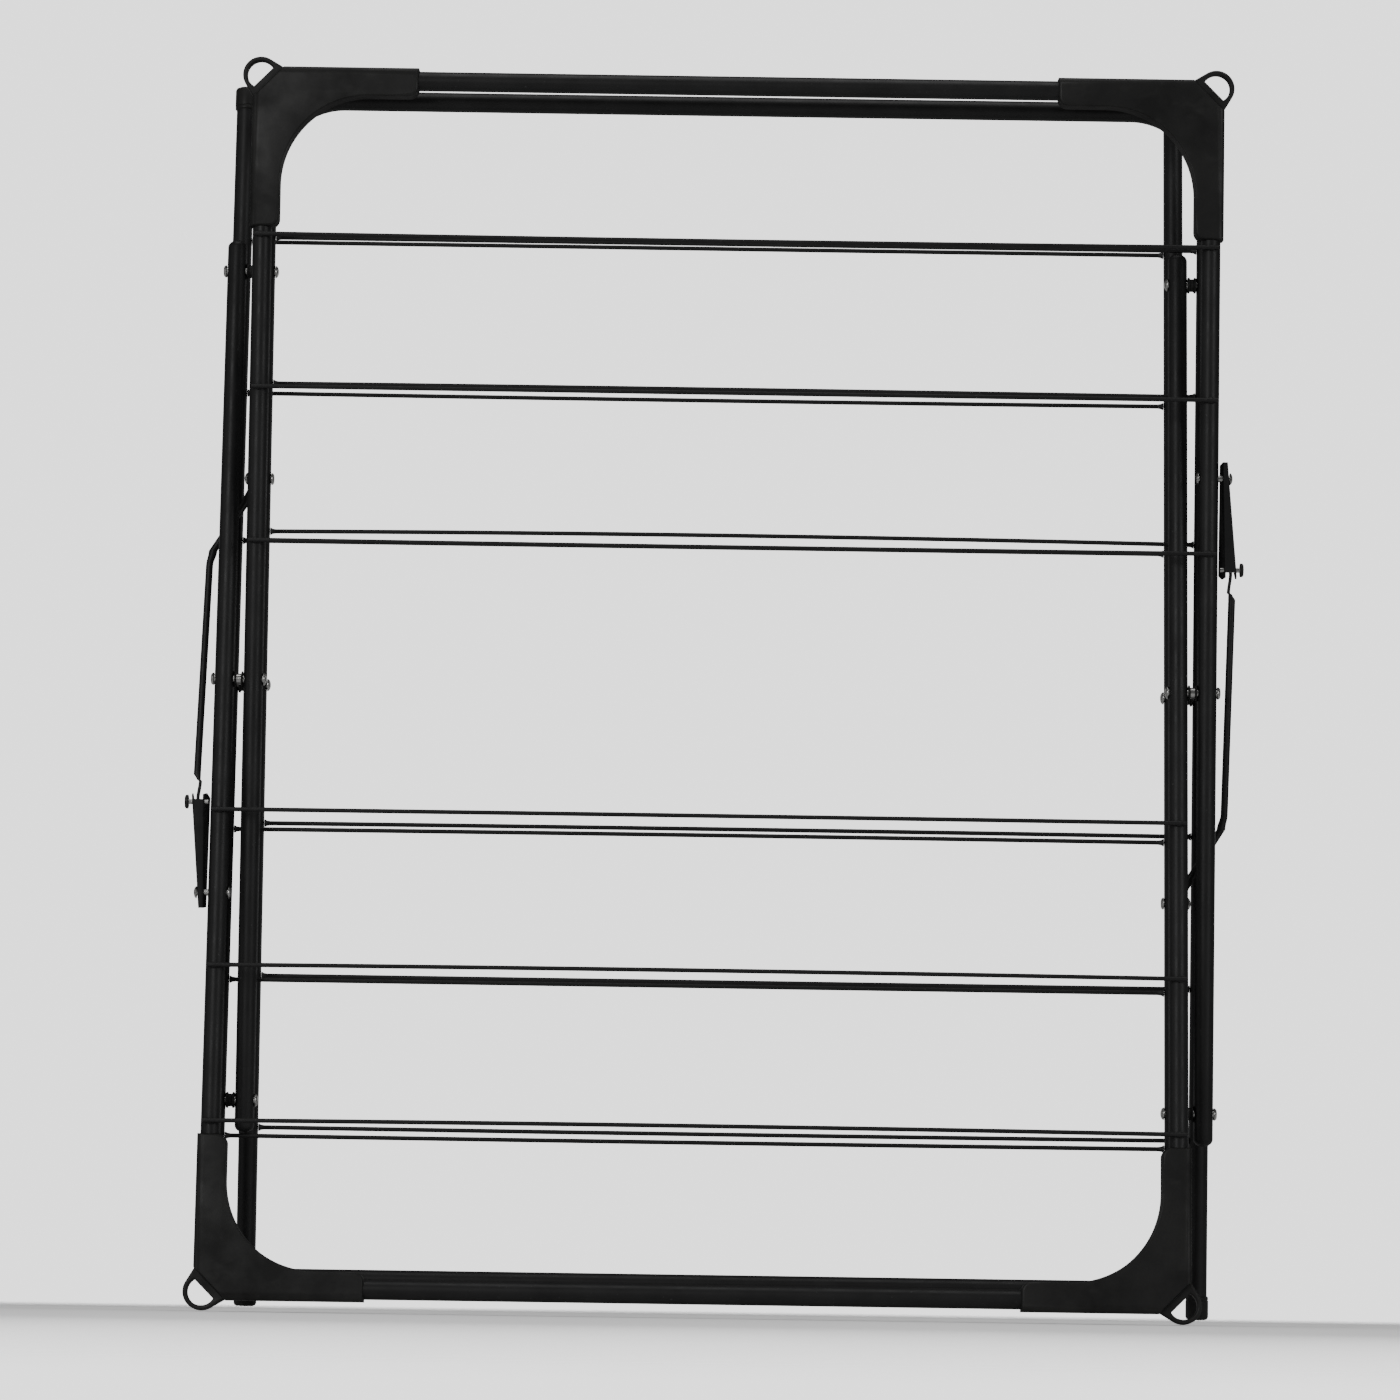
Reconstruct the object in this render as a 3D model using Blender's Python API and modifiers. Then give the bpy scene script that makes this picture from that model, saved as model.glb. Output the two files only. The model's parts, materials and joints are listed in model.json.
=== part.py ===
"""Free-standing clothes drying rack that folds flat like a lattice, modelled folded.

Four frames cross in pairs. The front pair has straight legs, a crossbar and moulded corners; the rear
pair is bent from one tube each. The lower front frame and the standing rear frame are one half of the
rack. The upper front frame and the rising rear frame are the same half turned half a turn about Y.
Metres, +Z up, +Y to the back. The origin is on the floor under the middle of the folded rack.
"""

import math

import bmesh
import bpy
from mathutils import Matrix, Vector

# Frames
LEG_SPACING = 0.710  # between the legs of one frame, centre to centre
LEG_PITCH = 0.0215  # between neighbouring legs of two pivoted frames
PIVOT_SPACING = 0.3125  # from a crossing to the next pivot, along a leg
FOLDED_DEPTH = 0.0175  # from the middle plane to a crossing, folded
TUBE_RADIUS = 0.0073
TUBE_WALL = 0.001
BAR_REACH = 0.451  # front frames: crossing to crossbar
END_REACH = 0.024  # front frames: end pivot to the rounded tip
ARCH_REACH = 0.4436  # rear frames: crossing to the middle of the arch
ARCH_RADIUS = 0.058
FOOT_REACH = 0.464  # rear frames: crossing to the bottom of the cap

# Wires, as distances from the crossing of their frame
WIRE_RADIUS = 0.00165
WIRES = {
    "front_lower": (-0.0994, -0.2152, -0.3298),
    "front_upper": (-0.1035, -0.2185, -0.3332),
    "rear_standing": (0.3388, 0.2280, 0.1160, -0.1038, -0.2180, -0.3312),
    "rear_rising": (0.3388, 0.2226, 0.1096, -0.1105, -0.2248, -0.3430),
}
WIRE_INSET = 0.0015  # a front wire stops this far inside the outer edge of each leg

# Moulded corners and caps
CORNER_OUT = 0.0090  # from the tubes' centre lines to the outer edges
CORNER_IN = 0.0126  # from the tubes' centre lines to the inner edges of the arms
CORNER_DEPTH = 0.018
CORNER_ARM_X = 0.1155
CORNER_ARM_Z = 0.112
CORNER_FILLET = 0.066
CORNER_CUT = 0.0143  # the slanted outer corner meets the arms' outer edges this far from the corner
CORNER_SOFT = 0.0015
ARM_END_ROUND = 0.007
LEG_STOP = 0.0145  # the tubes stop this far from the corner
EYE_CENTRE = -0.0030
EYE_RADIUS = 0.0136
EYE_HOLE = 0.0102
EYE_FLAT = 0.0023  # the flat side of the hole lies on x + z = -EYE_FLAT
EYE_ROOT = 0.0012  # the eye's plate starts this far inside the outer edges of the corner
EYE_DEPTH = 0.009
CAP_RADIUS = 0.0085
CAP_HEIGHT = 0.0175
CAP_FLOOR = 0.003
CAP_SOFT = 0.0015

# Pivots
RIVET_RADIUS = 0.003
RIVET_HEAD = 0.0047
RIVET_DOME = 0.0026
SPACER_RADIUS = 0.006
HOLE_SLACK = 0.0003
GAP = 0.0003

# Side stays, as distances from the end pivot that their two frames share
STAY_REAR = 0.157
STAY_FRONT = 0.473
STAY_RADIUS = 0.0027
STAY_SET_BACK = 0.0035  # the tongue runs this far behind the line between the pins
STAY_KNEE = 0.018  # the rod leaves its flat eye this far below the pin
STAY_STRAIGHT = 0.062  # and runs straight from here on
EYE_HALF = 0.0012
EYE_TOP = 0.0062
EYE_WIDE = 0.0062
TONGUE_HALF = 0.0011
TONGUE_WIDE = 0.0025
TONGUE_SHOULDER = 0.006
TONGUE_LENGTH = 0.077
TONGUE_CLEAR = 0.008
PIN_RADIUS = 0.0025
PIN_HEAD = 0.0046
PIN_DOME = 0.0022
CHANNEL_TOP = 0.0755
CHANNEL_FOOT = -0.0124
CHANNEL_WALL = 0.0012
CHANNEL_DEPTH = 0.010
CHANNEL_FOOT_WIDTH = 0.0052
CHANNEL_TOP_WIDTH = 0.0133
STOP_HEIGHT = 0.068
STOP_SET = -0.0016
STOP_RADIUS = 0.002
STOP_HEAD = 0.0052
STOP_HEAD_LENGTH = 0.0026

# Cutters
ONE_SIDE = 0.040  # a hole through one leg and its stay
CUT_OVER = 0.005

# Round pieces
TUBE_SIDES = 16
SMALL_SIDES = 12
ARCH_STEPS = 8

SHIFT = LEG_PITCH / 2
OUTER_LEG = -(LEG_SPACING / 2 + SHIFT)
INNER_LEG = -(LEG_SPACING / 2 - SHIFT)
PAIR_X = LEG_SPACING / 2
TILT = math.asin(FOLDED_DEPTH / PIVOT_SPACING)
PIVOT_RISE = PIVOT_SPACING * math.cos(TILT)
EYE_REACH = EYE_RADIUS - EYE_CENTRE
CROSSING_Z = (BAR_REACH + EYE_REACH) * math.cos(TILT) + EYE_DEPTH / 2 * math.sin(TILT)

# Where the left stay lies across the rack
STAY_EYE_X = INNER_LEG - TUBE_RADIUS - GAP - EYE_HALF
STAY_RUN_X = OUTER_LEG - 0.0155
STAY_END_X = OUTER_LEG - 0.0188
TONGUE_TOP_X = OUTER_LEG - 0.0163
TONGUE_MOUTH_X = OUTER_LEG - 0.0177
TONGUE_TIP_X = OUTER_LEG - 0.0122
CHANNEL_INNER_X = OUTER_LEG - 0.0086
STOP_HEAD_X = OUTER_LEG - 0.0266

# Each half: front frame, rear frame, shared end pivot, side of its stay, side across
HALVES = (
    ("front_lower", "rear_standing", "upper_pivot", "left", "right"),
    ("front_upper", "rear_rising", "lower_pivot", "right", "left"),
)

PARTS = bpy.data.collections.new("folding_drying_rack")
CUTTERS = bpy.data.collections.new("cutters")


def clear_scene():
    for obj in list(bpy.data.objects):
        bpy.data.objects.remove(obj, do_unlink=True)
    for collection in (PARTS, CUTTERS):
        bpy.context.scene.collection.children.link(collection)


def material(name, colour, roughness, metallic=0.0):
    made = bpy.data.materials.new(name)
    made.use_nodes = True
    shader = made.node_tree.nodes["Principled BSDF"]
    shader.inputs["Base Color"].default_value = (*colour, 1.0)
    shader.inputs["Roughness"].default_value = roughness
    shader.inputs["Metallic"].default_value = metallic
    return made


def add(name, mesh, finish, parent, location=(0, 0, 0), rotation=(0, 0, 0), collection=PARTS):
    obj = bpy.data.objects.new(name, mesh)
    obj.parent = parent
    obj.location = location
    obj.rotation_euler = rotation
    if finish:
        mesh.materials.append(finish)
    collection.objects.link(obj)
    return obj


def empty(name, parent, location, rotation=(0, 0, 0)):
    holder = bpy.data.objects.new(name, None)
    holder.parent = parent
    holder.location = location
    holder.rotation_euler = rotation
    holder.empty_display_size = 0.02
    PARTS.objects.link(holder)
    return holder


def turned(name, profile, closed, sides, finish, parent, location, rotation=(0, 0, 0)):
    """A profile of (radius, height) points, running down its outer side, turned about the object's Z."""
    mesh = bpy.data.meshes.new(name)
    edges = [(i, i + 1) for i in range(len(profile) - 1)]
    if closed:
        edges.append((len(profile) - 1, 0))
    mesh.from_pydata([(radius, 0, height) for radius, height in profile], edges, [])
    obj = add(name, mesh, finish, parent, location, rotation)
    screw = obj.modifiers.new("turn", "SCREW")
    screw.steps = sides
    screw.render_steps = sides
    screw.use_merge_vertices = True
    screw.merge_threshold = 0.00001
    screw.use_smooth_shade = True
    return obj


def arc(centre, radius, start, end, steps):
    """Points on an arc, from start to end in degrees, both ends included."""
    turns = [math.radians(start + (end - start) * i / steps) for i in range(steps + 1)]
    return [(centre[0] + radius * math.cos(t), centre[1] + radius * math.sin(t)) for t in turns]


def mesh_of_curve(curve_object):
    """The welded mesh of a curve, in the curve's parent space. The curve is removed."""
    bpy.context.view_layer.update()
    graph = bpy.context.evaluated_depsgraph_get()
    mesh = bpy.data.meshes.new_from_object(curve_object.evaluated_get(graph))
    mesh.transform(curve_object.matrix_world)
    shape = bmesh.new()
    shape.from_mesh(mesh)
    bmesh.ops.remove_doubles(shape, verts=shape.verts, dist=0.00001)
    bmesh.ops.recalc_face_normals(shape, faces=shape.faces)
    shape.to_mesh(mesh)
    shape.free()
    curve = curve_object.data
    bpy.data.objects.remove(curve_object)
    bpy.data.curves.remove(curve)
    return mesh


def plate(outlines, depth, soft):
    """The mesh of closed outlines in XZ, filled between them and thickened along Y, with soft edges."""
    curve = bpy.data.curves.new("outline", "CURVE")
    curve.dimensions = "2D"
    curve.fill_mode = "BOTH"
    curve.extrude = depth / 2 - soft
    curve.bevel_depth = soft
    curve.bevel_resolution = 1
    curve.offset = -soft
    for outline in outlines:
        spline = curve.splines.new("POLY")
        spline.points.add(len(outline) - 1)
        for point, (x, z) in zip(spline.points, outline):
            point.co = (x, z, 0, 1)
        spline.use_cyclic_u = True
    drawn = bpy.data.objects.new("outline", curve)
    drawn.rotation_euler = (math.radians(90), 0, 0)
    CUTTERS.objects.link(drawn)
    return mesh_of_curve(drawn)


def cutter(name, mesh, parent, location=(0, 0, 0), rotation=(0, 0, 0)):
    obj = add(name, mesh, None, parent, location, rotation, CUTTERS)
    obj.hide_render = True
    obj.display_type = "WIRE"
    return obj


def rod_mesh(radius, length, sides=SMALL_SIDES):
    """A cylinder along X."""
    mesh = bpy.data.meshes.new("rod")
    shape = bmesh.new()
    bmesh.ops.create_cone(
        shape, cap_ends=True, segments=sides, radius1=radius, radius2=radius, depth=length,
        matrix=Matrix.Rotation(math.radians(90), 4, "Y"),
    )
    shape.to_mesh(mesh)
    shape.free()
    return mesh


def smooth(obj):
    obj.data.shade_smooth()
    obj.data.set_sharp_from_angle(angle=math.radians(35))


def cut(obj, *tools):
    for tool in tools:
        boolean = obj.modifiers.new("cut " + tool.name, "BOOLEAN")
        boolean.operation = "DIFFERENCE"
        boolean.object = tool


def rivet_profile(radius, head, dome, half):
    """A rivet with a low dome at each end and half the grip on each side of its middle."""
    turns = [math.radians(angle) for angle in (0, 35, 65, 90)]
    rise = [(head * math.sin(t), half + dome * math.cos(t)) for t in turns]
    fall = [(r, -h) for r, h in reversed(rise)]
    return rise + [(radius, half), (radius, -half)] + fall


def rivet(name, finish, parent, location, half, radius=RIVET_RADIUS, head=RIVET_HEAD, dome=RIVET_DOME):
    profile = rivet_profile(radius, head, dome, half)
    return turned(name, profile, False, SMALL_SIDES, finish, parent, location, (0, math.radians(90), 0))


def ring(name, finish, parent, location, inner, outer, half):
    profile = [(outer, half), (outer, -half), (inner, -half), (inner, half)]
    return turned(name, profile, True, SMALL_SIDES, finish, parent, location, (0, math.radians(90), 0))


def front_leg(name, finish, parent, x, holes):
    """A tube along Z with a closed round tip above the end pivot and an open end in the corner."""
    tip = END_REACH - TUBE_RADIUS
    foot = -(PIVOT_SPACING + BAR_REACH) + LEG_STOP
    inner = TUBE_RADIUS - TUBE_WALL
    dome = [(r, tip + h) for r, h in reversed(arc((0, 0), TUBE_RADIUS, 0, 90, 4))]
    dome[0] = (0, tip + TUBE_RADIUS)
    bore = [(inner, foot), (inner, tip - TUBE_WALL), (0, tip - TUBE_WALL)]
    profile = dome + [(TUBE_RADIUS, foot)] + bore
    leg = turned(name, profile, False, TUBE_SIDES, finish, parent, (x, 0, 0))
    cut(leg, *holes)
    return leg


def crossbar(name, finish, parent):
    half = LEG_SPACING / 2 - LEG_STOP
    inner = TUBE_RADIUS - TUBE_WALL
    profile = [(TUBE_RADIUS, half), (TUBE_RADIUS, -half), (inner, -half), (inner, half)]
    height = -(PIVOT_SPACING + BAR_REACH)
    place = (-SHIFT, 0, height)
    return turned(name, profile, True, TUBE_SIDES, finish, parent, place, (0, math.radians(90), 0))


def corner_outline():
    bend = CORNER_IN + CORNER_FILLET
    turn = ARM_END_ROUND
    outline = [(-CORNER_OUT, CORNER_CUT), (-CORNER_OUT, CORNER_ARM_Z)]
    outline += arc((CORNER_IN - turn, CORNER_ARM_Z - turn), turn, 90, 0, 3)
    outline += arc((bend, bend), CORNER_FILLET, 180, 270, ARCH_STEPS)
    outline += arc((CORNER_ARM_X - turn, CORNER_IN - turn), turn, 90, 0, 3)
    outline += [(CORNER_ARM_X, -CORNER_OUT), (CORNER_CUT, -CORNER_OUT)]
    return outline


def eye_outlines():
    """The hanging eye outside the corner: a round plate that widens to the slanted edge, and the hole in
    it with its flat side to the corner."""
    centre = (EYE_CENTRE, EYE_CENTRE)
    root = (EYE_ROOT - CORNER_OUT, EYE_ROOT + CORNER_CUT)
    across, up = root[0] - EYE_CENTRE, root[1] - EYE_CENTRE
    touch = math.degrees(math.atan2(up, across) + math.acos(EYE_RADIUS / math.hypot(across, up)))
    rim = [root] + arc(centre, EYE_RADIUS, touch, 450 - touch, 14) + [(root[1], root[0])]
    depth = (-EYE_FLAT - 2 * EYE_CENTRE) / math.sqrt(2)
    open_angle = math.degrees(math.acos(depth / EYE_HOLE))
    hole = arc(centre, EYE_HOLE, 45 + open_angle, 405 - open_angle, 12)
    return [rim, hole]


def corner(name, finish, parent, x, inward):
    """A moulded corner over the meeting ends of a leg and the crossbar, with blind bores for both."""
    place = (x, 0, -(PIVOT_SPACING + BAR_REACH))
    face = Matrix.Scale(inward, 4, (1, 0, 0))
    body_mesh = plate([corner_outline()], CORNER_DEPTH, CORNER_SOFT)
    eye_mesh = plate(eye_outlines(), EYE_DEPTH, CORNER_SOFT)
    for mesh in (body_mesh, eye_mesh):
        mesh.transform(face)
        if inward < 0:
            mesh.flip_normals()
    body = add(name, body_mesh, finish, parent, place)
    eye = cutter(name + "_eye", eye_mesh, parent, place)
    joined = body.modifiers.new("hanging eye", "BOOLEAN")
    joined.operation = "UNION"
    joined.object = eye
    bore = TUBE_RADIUS + GAP
    across = rod_mesh(bore, CORNER_ARM_X, TUBE_SIDES)
    across_place = (x + inward * (LEG_STOP - GAP + CORNER_ARM_X / 2), 0, place[2])
    upright_place = (x, 0, place[2] + LEG_STOP - GAP + CORNER_ARM_X / 2)
    upright = rod_mesh(bore, CORNER_ARM_X, TUBE_SIDES)
    cut(
        body,
        cutter(name + "_bar_bore", across, parent, across_place),
        cutter(name + "_leg_bore", upright, parent, upright_place, (0, math.radians(90), 0)),
    )
    smooth(body)
    return body


def wire(name, finish, parent, start, end, y, z):
    obj = add(name, rod_mesh(WIRE_RADIUS, end - start, 8), finish, parent, ((start + end) / 2, y, z))
    smooth(obj)
    return obj


def arch_tube(name, finish, parent, holes):
    """One tube bent into a tall arch: leg, bend, top, bend, leg."""
    left = INNER_LEG
    right = INNER_LEG + LEG_SPACING
    foot = -FOOT_REACH + CAP_FLOOR + GAP
    spring = ARCH_REACH - ARCH_RADIUS
    route = [(left, foot)]
    route += arc((left + ARCH_RADIUS, spring), ARCH_RADIUS, 180, 90, ARCH_STEPS)
    route += arc((right - ARCH_RADIUS, spring), ARCH_RADIUS, 90, 0, ARCH_STEPS)
    route.append((right, foot))
    curve = bpy.data.curves.new("route", "CURVE")
    curve.dimensions = "3D"
    curve.bevel_depth = TUBE_RADIUS
    curve.bevel_resolution = 6
    spline = curve.splines.new("POLY")
    spline.points.add(len(route) - 1)
    for point, (x, z) in zip(spline.points, route):
        point.co = (x, 0, z, 1)
    drawn = bpy.data.objects.new("route", curve)
    CUTTERS.objects.link(drawn)
    tube = add(name, mesh_of_curve(drawn), finish, parent)
    wall = tube.modifiers.new("wall", "SOLIDIFY")
    wall.thickness = TUBE_WALL
    wall.offset = -1
    cut(tube, *holes)
    smooth(tube)
    return tube


def cap(name, finish, parent, x):
    bottom = -FOOT_REACH
    bore = TUBE_RADIUS + GAP
    rim = bottom + CAP_HEIGHT
    inside = [(0, bottom + CAP_FLOOR), (bore, bottom + CAP_FLOOR), (bore, rim)]
    outside = [(CAP_RADIUS, rim), (CAP_RADIUS, bottom + CAP_SOFT), (CAP_RADIUS - CAP_SOFT, bottom), (0, bottom)]
    return turned(name, inside + outside, False, TUBE_SIDES, finish, parent, (x, 0, 0))


def loft(name, stations, finish, parent):
    """A bar through stations of (x, y, z, half width along X, half width along Y), from the top down."""
    shape = bmesh.new()
    rings = []
    turns = [2 * math.pi * i / SMALL_SIDES for i in range(SMALL_SIDES)]
    for x, y, z, wide_x, wide_y in stations:
        points = [Vector((x + wide_x * math.cos(t), y + wide_y * math.sin(t), z)) for t in turns]
        rings.append([shape.verts.new(point) for point in points])
    for upper, lower in zip(rings, rings[1:]):
        for i in range(SMALL_SIDES):
            after = (i + 1) % SMALL_SIDES
            shape.faces.new((upper[i], lower[i], lower[after], upper[after]))
    shape.faces.new(rings[0])
    shape.faces.new(list(reversed(rings[-1])))
    bmesh.ops.recalc_face_normals(shape, faces=shape.faces)
    mesh = bpy.data.meshes.new(name)
    shape.to_mesh(mesh)
    shape.free()
    obj = add(name, mesh, finish, parent)
    smooth(obj)
    return obj


def stay_angles(spread):
    """For the angle between the two frames: the rod's angle to the rear frame, the channel's to the front
    one, and the distance between their pins."""
    across = STAY_FRONT * math.sin(spread)
    along = STAY_FRONT * math.cos(spread) - STAY_REAR
    rear = math.atan2(across, along)
    return rear, rear - spread, math.hypot(across, along)


def stay_rod(name, finish, parent, length, pin_hole):
    """A rod from a flat eye, out past the front leg, down beside it, to a flat tongue in the channel."""
    tip = -(length - TONGUE_CLEAR)
    tongue = tip + TONGUE_LENGTH
    mouth = CHANNEL_TOP - length
    back = STAY_SET_BACK
    lean = math.atan2(STAY_EYE_X - STAY_RUN_X, STAY_STRAIGHT - STAY_KNEE)
    slant = STAY_RADIUS / math.cos(lean)
    stations = [
        (STAY_EYE_X, 0, EYE_TOP, EYE_HALF, EYE_WIDE * 0.35),
        (STAY_EYE_X, 0, EYE_TOP * 0.73, EYE_HALF, EYE_WIDE * 0.77),
        (STAY_EYE_X, 0, 0, EYE_HALF, EYE_WIDE),
        (STAY_EYE_X, 0, -EYE_TOP * 1.1, EYE_HALF, EYE_WIDE * 0.89),
        (STAY_EYE_X - 0.0005, back * 0.3, -STAY_KNEE * 0.72, EYE_HALF * 1.8, STAY_RADIUS),
        (STAY_EYE_X - 0.003, back * 0.6, -STAY_KNEE, slant, STAY_RADIUS),
        (STAY_RUN_X + 0.0022, back, -STAY_STRAIGHT * 0.89, slant, STAY_RADIUS),
        (STAY_RUN_X, back, -STAY_STRAIGHT, STAY_RADIUS, STAY_RADIUS),
        (STAY_END_X, back, tongue + TONGUE_SHOULDER, STAY_RADIUS, STAY_RADIUS),
        (TONGUE_TOP_X, back, tongue, TONGUE_HALF, TONGUE_WIDE),
        (TONGUE_MOUTH_X, back, mouth, TONGUE_HALF, TONGUE_WIDE),
        (TONGUE_TIP_X, back, tip + TONGUE_WIDE, TONGUE_HALF, TONGUE_WIDE),
        (TONGUE_TIP_X, back, tip, TONGUE_HALF, TONGUE_WIDE / 2),
    ]
    rod = loft(name, stations, finish, parent)
    cut(rod, pin_hole)
    return rod


def tapered_box(inner_x, foot_width, top_width, foot, top, front, back):
    """A box whose outer side leans out towards the top."""
    shape = bmesh.new()
    bmesh.ops.create_cube(shape, size=1)
    for vert in shape.verts:
        upper = vert.co.z > 0
        width = top_width if upper else foot_width
        vert.co.x = inner_x if vert.co.x > 0 else inner_x - width
        vert.co.y = back if vert.co.y > 0 else front
        vert.co.z = top if upper else foot
    mesh = bpy.data.meshes.new("box")
    shape.to_mesh(mesh)
    shape.free()
    return mesh


def channel_width(height):
    slope = (CHANNEL_TOP_WIDTH - CHANNEL_FOOT_WIDTH) / (CHANNEL_TOP - CHANNEL_FOOT)
    return CHANNEL_FOOT_WIDTH + slope * (height - CHANNEL_FOOT)


def stay_channel(name, finish, parent, holes):
    """A channel with its web to the front, open behind, wider at its mouth."""
    half = CHANNEL_DEPTH / 2
    wall = CHANNEL_WALL
    low = CHANNEL_FOOT - CUT_OVER
    high = CHANNEL_TOP + CUT_OVER
    outside = tapered_box(
        CHANNEL_INNER_X, channel_width(CHANNEL_FOOT), channel_width(CHANNEL_TOP), CHANNEL_FOOT, CHANNEL_TOP,
        -half, half,
    )
    hollow = tapered_box(
        CHANNEL_INNER_X - wall, channel_width(low) - 2 * wall, channel_width(high) - 2 * wall, low, high,
        -half + wall, half + CUT_OVER,
    )
    channel = add(name, outside, finish, parent)
    cut(channel, cutter(name + "_hollow", hollow, parent), *holes)
    return channel


def stop_pin(name, finish, parent):
    """The big-headed pin across the mouth of the channel, which stops the tongue."""
    end = CHANNEL_INNER_X - GAP
    neck = STOP_HEAD_X + STOP_HEAD_LENGTH
    length = end - neck
    profile = [
        (0, length), (STOP_RADIUS, length), (STOP_RADIUS, 0), (STOP_HEAD, 0),
        (STOP_HEAD, -STOP_HEAD_LENGTH / 2), (STOP_HEAD * 0.7, -STOP_HEAD_LENGTH), (0, -STOP_HEAD_LENGTH),
    ]
    place = (neck, STOP_SET, STOP_HEIGHT)
    return turned(name, profile, False, SMALL_SIDES, finish, parent, place, (0, math.radians(90), 0))


def pivots(end_name, near, across, rear, front, hub, steel, plastic):
    """The end pivots of this half on both sides, and its one front and one rear crossing."""
    grip = SHIFT + TUBE_RADIUS + GAP
    thick = SHIFT - TUBE_RADIUS - GAP
    hole = RIVET_RADIUS + HOLE_SLACK
    places = [
        (end_name, near, rear, (-PAIR_X, 0, PIVOT_SPACING)),
        (end_name, across, rear, (PAIR_X, 0, PIVOT_SPACING)),
        ("front_crossing", near, front, (-PAIR_X, 0, -PIVOT_SPACING)),
        ("rear_crossing", near, hub, (-PAIR_X, 0, 0)),
    ]
    for name, side, parent, place in places:
        rivet(f"{name}_rivet_{side}", steel, parent, place, grip)
        ring(f"{name}_spacer_{side}", plastic, parent, place, hole, SPACER_RADIUS, thick)


def stay(near, rear, front, coat, steel):
    """The side stay of this half: rod on the rear frame, channel and stop on the front frame."""
    rod_angle, channel_angle, length = stay_angles(2 * TILT)
    rod_pin = (0, 0, PIVOT_SPACING - STAY_REAR)
    rod_axis = empty(f"stay_rod_axis_{near}", rear, rod_pin, (-rod_angle, 0, 0))
    channel_pin = (0, 0, -STAY_FRONT)
    channel_axis = empty(f"stay_channel_axis_{near}", front, channel_pin, (-channel_angle, 0, 0))
    hole = rod_mesh(PIN_RADIUS + HOLE_SLACK, ONE_SIDE)
    rod_hole = cutter(f"stay_rod_hole_{near}", hole, rod_axis, (STAY_EYE_X, 0, 0))
    channel_hole = cutter(f"stay_channel_hole_{near}", hole, channel_axis, (CHANNEL_INNER_X, 0, 0))
    stop_hole = rod_mesh(STOP_RADIUS + HOLE_SLACK, ONE_SIDE)
    stop_tool = cutter(f"stay_stop_hole_{near}", stop_hole, channel_axis, (CHANNEL_INNER_X, STOP_SET, STOP_HEIGHT))
    stay_rod(f"stay_rod_{near}", coat, rod_axis, length, rod_hole)
    stay_channel(f"stay_channel_{near}", coat, channel_axis, [channel_hole, stop_tool])
    stop_pin(f"stay_stop_pin_{near}", steel, channel_axis)
    rod_grip = (INNER_LEG + TUBE_RADIUS + GAP, STAY_EYE_X - EYE_HALF - GAP)
    channel_grip = (OUTER_LEG + TUBE_RADIUS + GAP, CHANNEL_INNER_X - channel_width(PIN_HEAD) - GAP)
    for name, parent, z, (inner, outer) in (
        (f"stay_rod_rivet_{near}", rear, rod_pin[2], rod_grip),
        (f"stay_channel_rivet_{near}", front, channel_pin[2], channel_grip),
    ):
        place = ((inner + outer) / 2, 0, z)
        rivet(name, steel, parent, place, (inner - outer) / 2, PIN_RADIUS, PIN_HEAD, PIN_DOME)


def hole_across(name, parent, z, radius):
    """A cutter along X through both legs of a frame."""
    return cutter(name, rod_mesh(radius, LEG_SPACING + 2 * ONE_SIDE), parent, (0, 0, z))


def front_frame(name, near, across, parent, coat, plastic):
    radius = RIVET_RADIUS + HOLE_SLACK
    end_hole = hole_across(name + "_end_hole", parent, 0, radius)
    crossing_hole = hole_across(name + "_crossing_hole", parent, -PIVOT_SPACING, radius)
    stay_hole = cutter(
        name + "_stay_hole", rod_mesh(PIN_RADIUS + HOLE_SLACK, ONE_SIDE), parent, (OUTER_LEG, 0, -STAY_FRONT)
    )
    inner_leg = OUTER_LEG + LEG_SPACING
    front_leg(f"{name}_leg_{near}", coat, parent, OUTER_LEG, [end_hole, crossing_hole, stay_hole])
    front_leg(f"{name}_leg_{across}", coat, parent, inner_leg, [end_hole, crossing_hole])
    crossbar(name + "_crossbar", coat, parent)
    corner(f"{name}_corner_{near}", plastic, parent, OUTER_LEG, 1)
    corner(f"{name}_corner_{across}", plastic, parent, inner_leg, -1)
    y = -(TUBE_RADIUS + GAP + WIRE_RADIUS)
    reach = TUBE_RADIUS - WIRE_INSET
    for i, z in enumerate(WIRES[name], 1):
        wire(f"{name}_wire_{i}", coat, parent, OUTER_LEG - reach, inner_leg + reach, y, z - PIVOT_SPACING)


def rear_frame(name, near, across, parent, coat, plastic):
    radius = RIVET_RADIUS + HOLE_SLACK
    left = INNER_LEG
    right = INNER_LEG + LEG_SPACING
    holes = [
        hole_across(name + "_end_hole", parent, PIVOT_SPACING, radius),
        hole_across(name + "_crossing_hole", parent, 0, radius),
        cutter(
            name + "_stay_hole", rod_mesh(PIN_RADIUS + HOLE_SLACK, ONE_SIDE), parent,
            (left, 0, PIVOT_SPACING - STAY_REAR),
        ),
    ]
    arch_tube(name + "_tube", coat, parent, holes)
    cap(f"{name}_cap_{near}", plastic, parent, left)
    cap(f"{name}_cap_{across}", plastic, parent, right)
    clear = TUBE_RADIUS + GAP
    for i, z in enumerate(WIRES[name], 1):
        wire(f"{name}_wire_{i}", coat, parent, left + clear, right - clear, 0, z)


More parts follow.
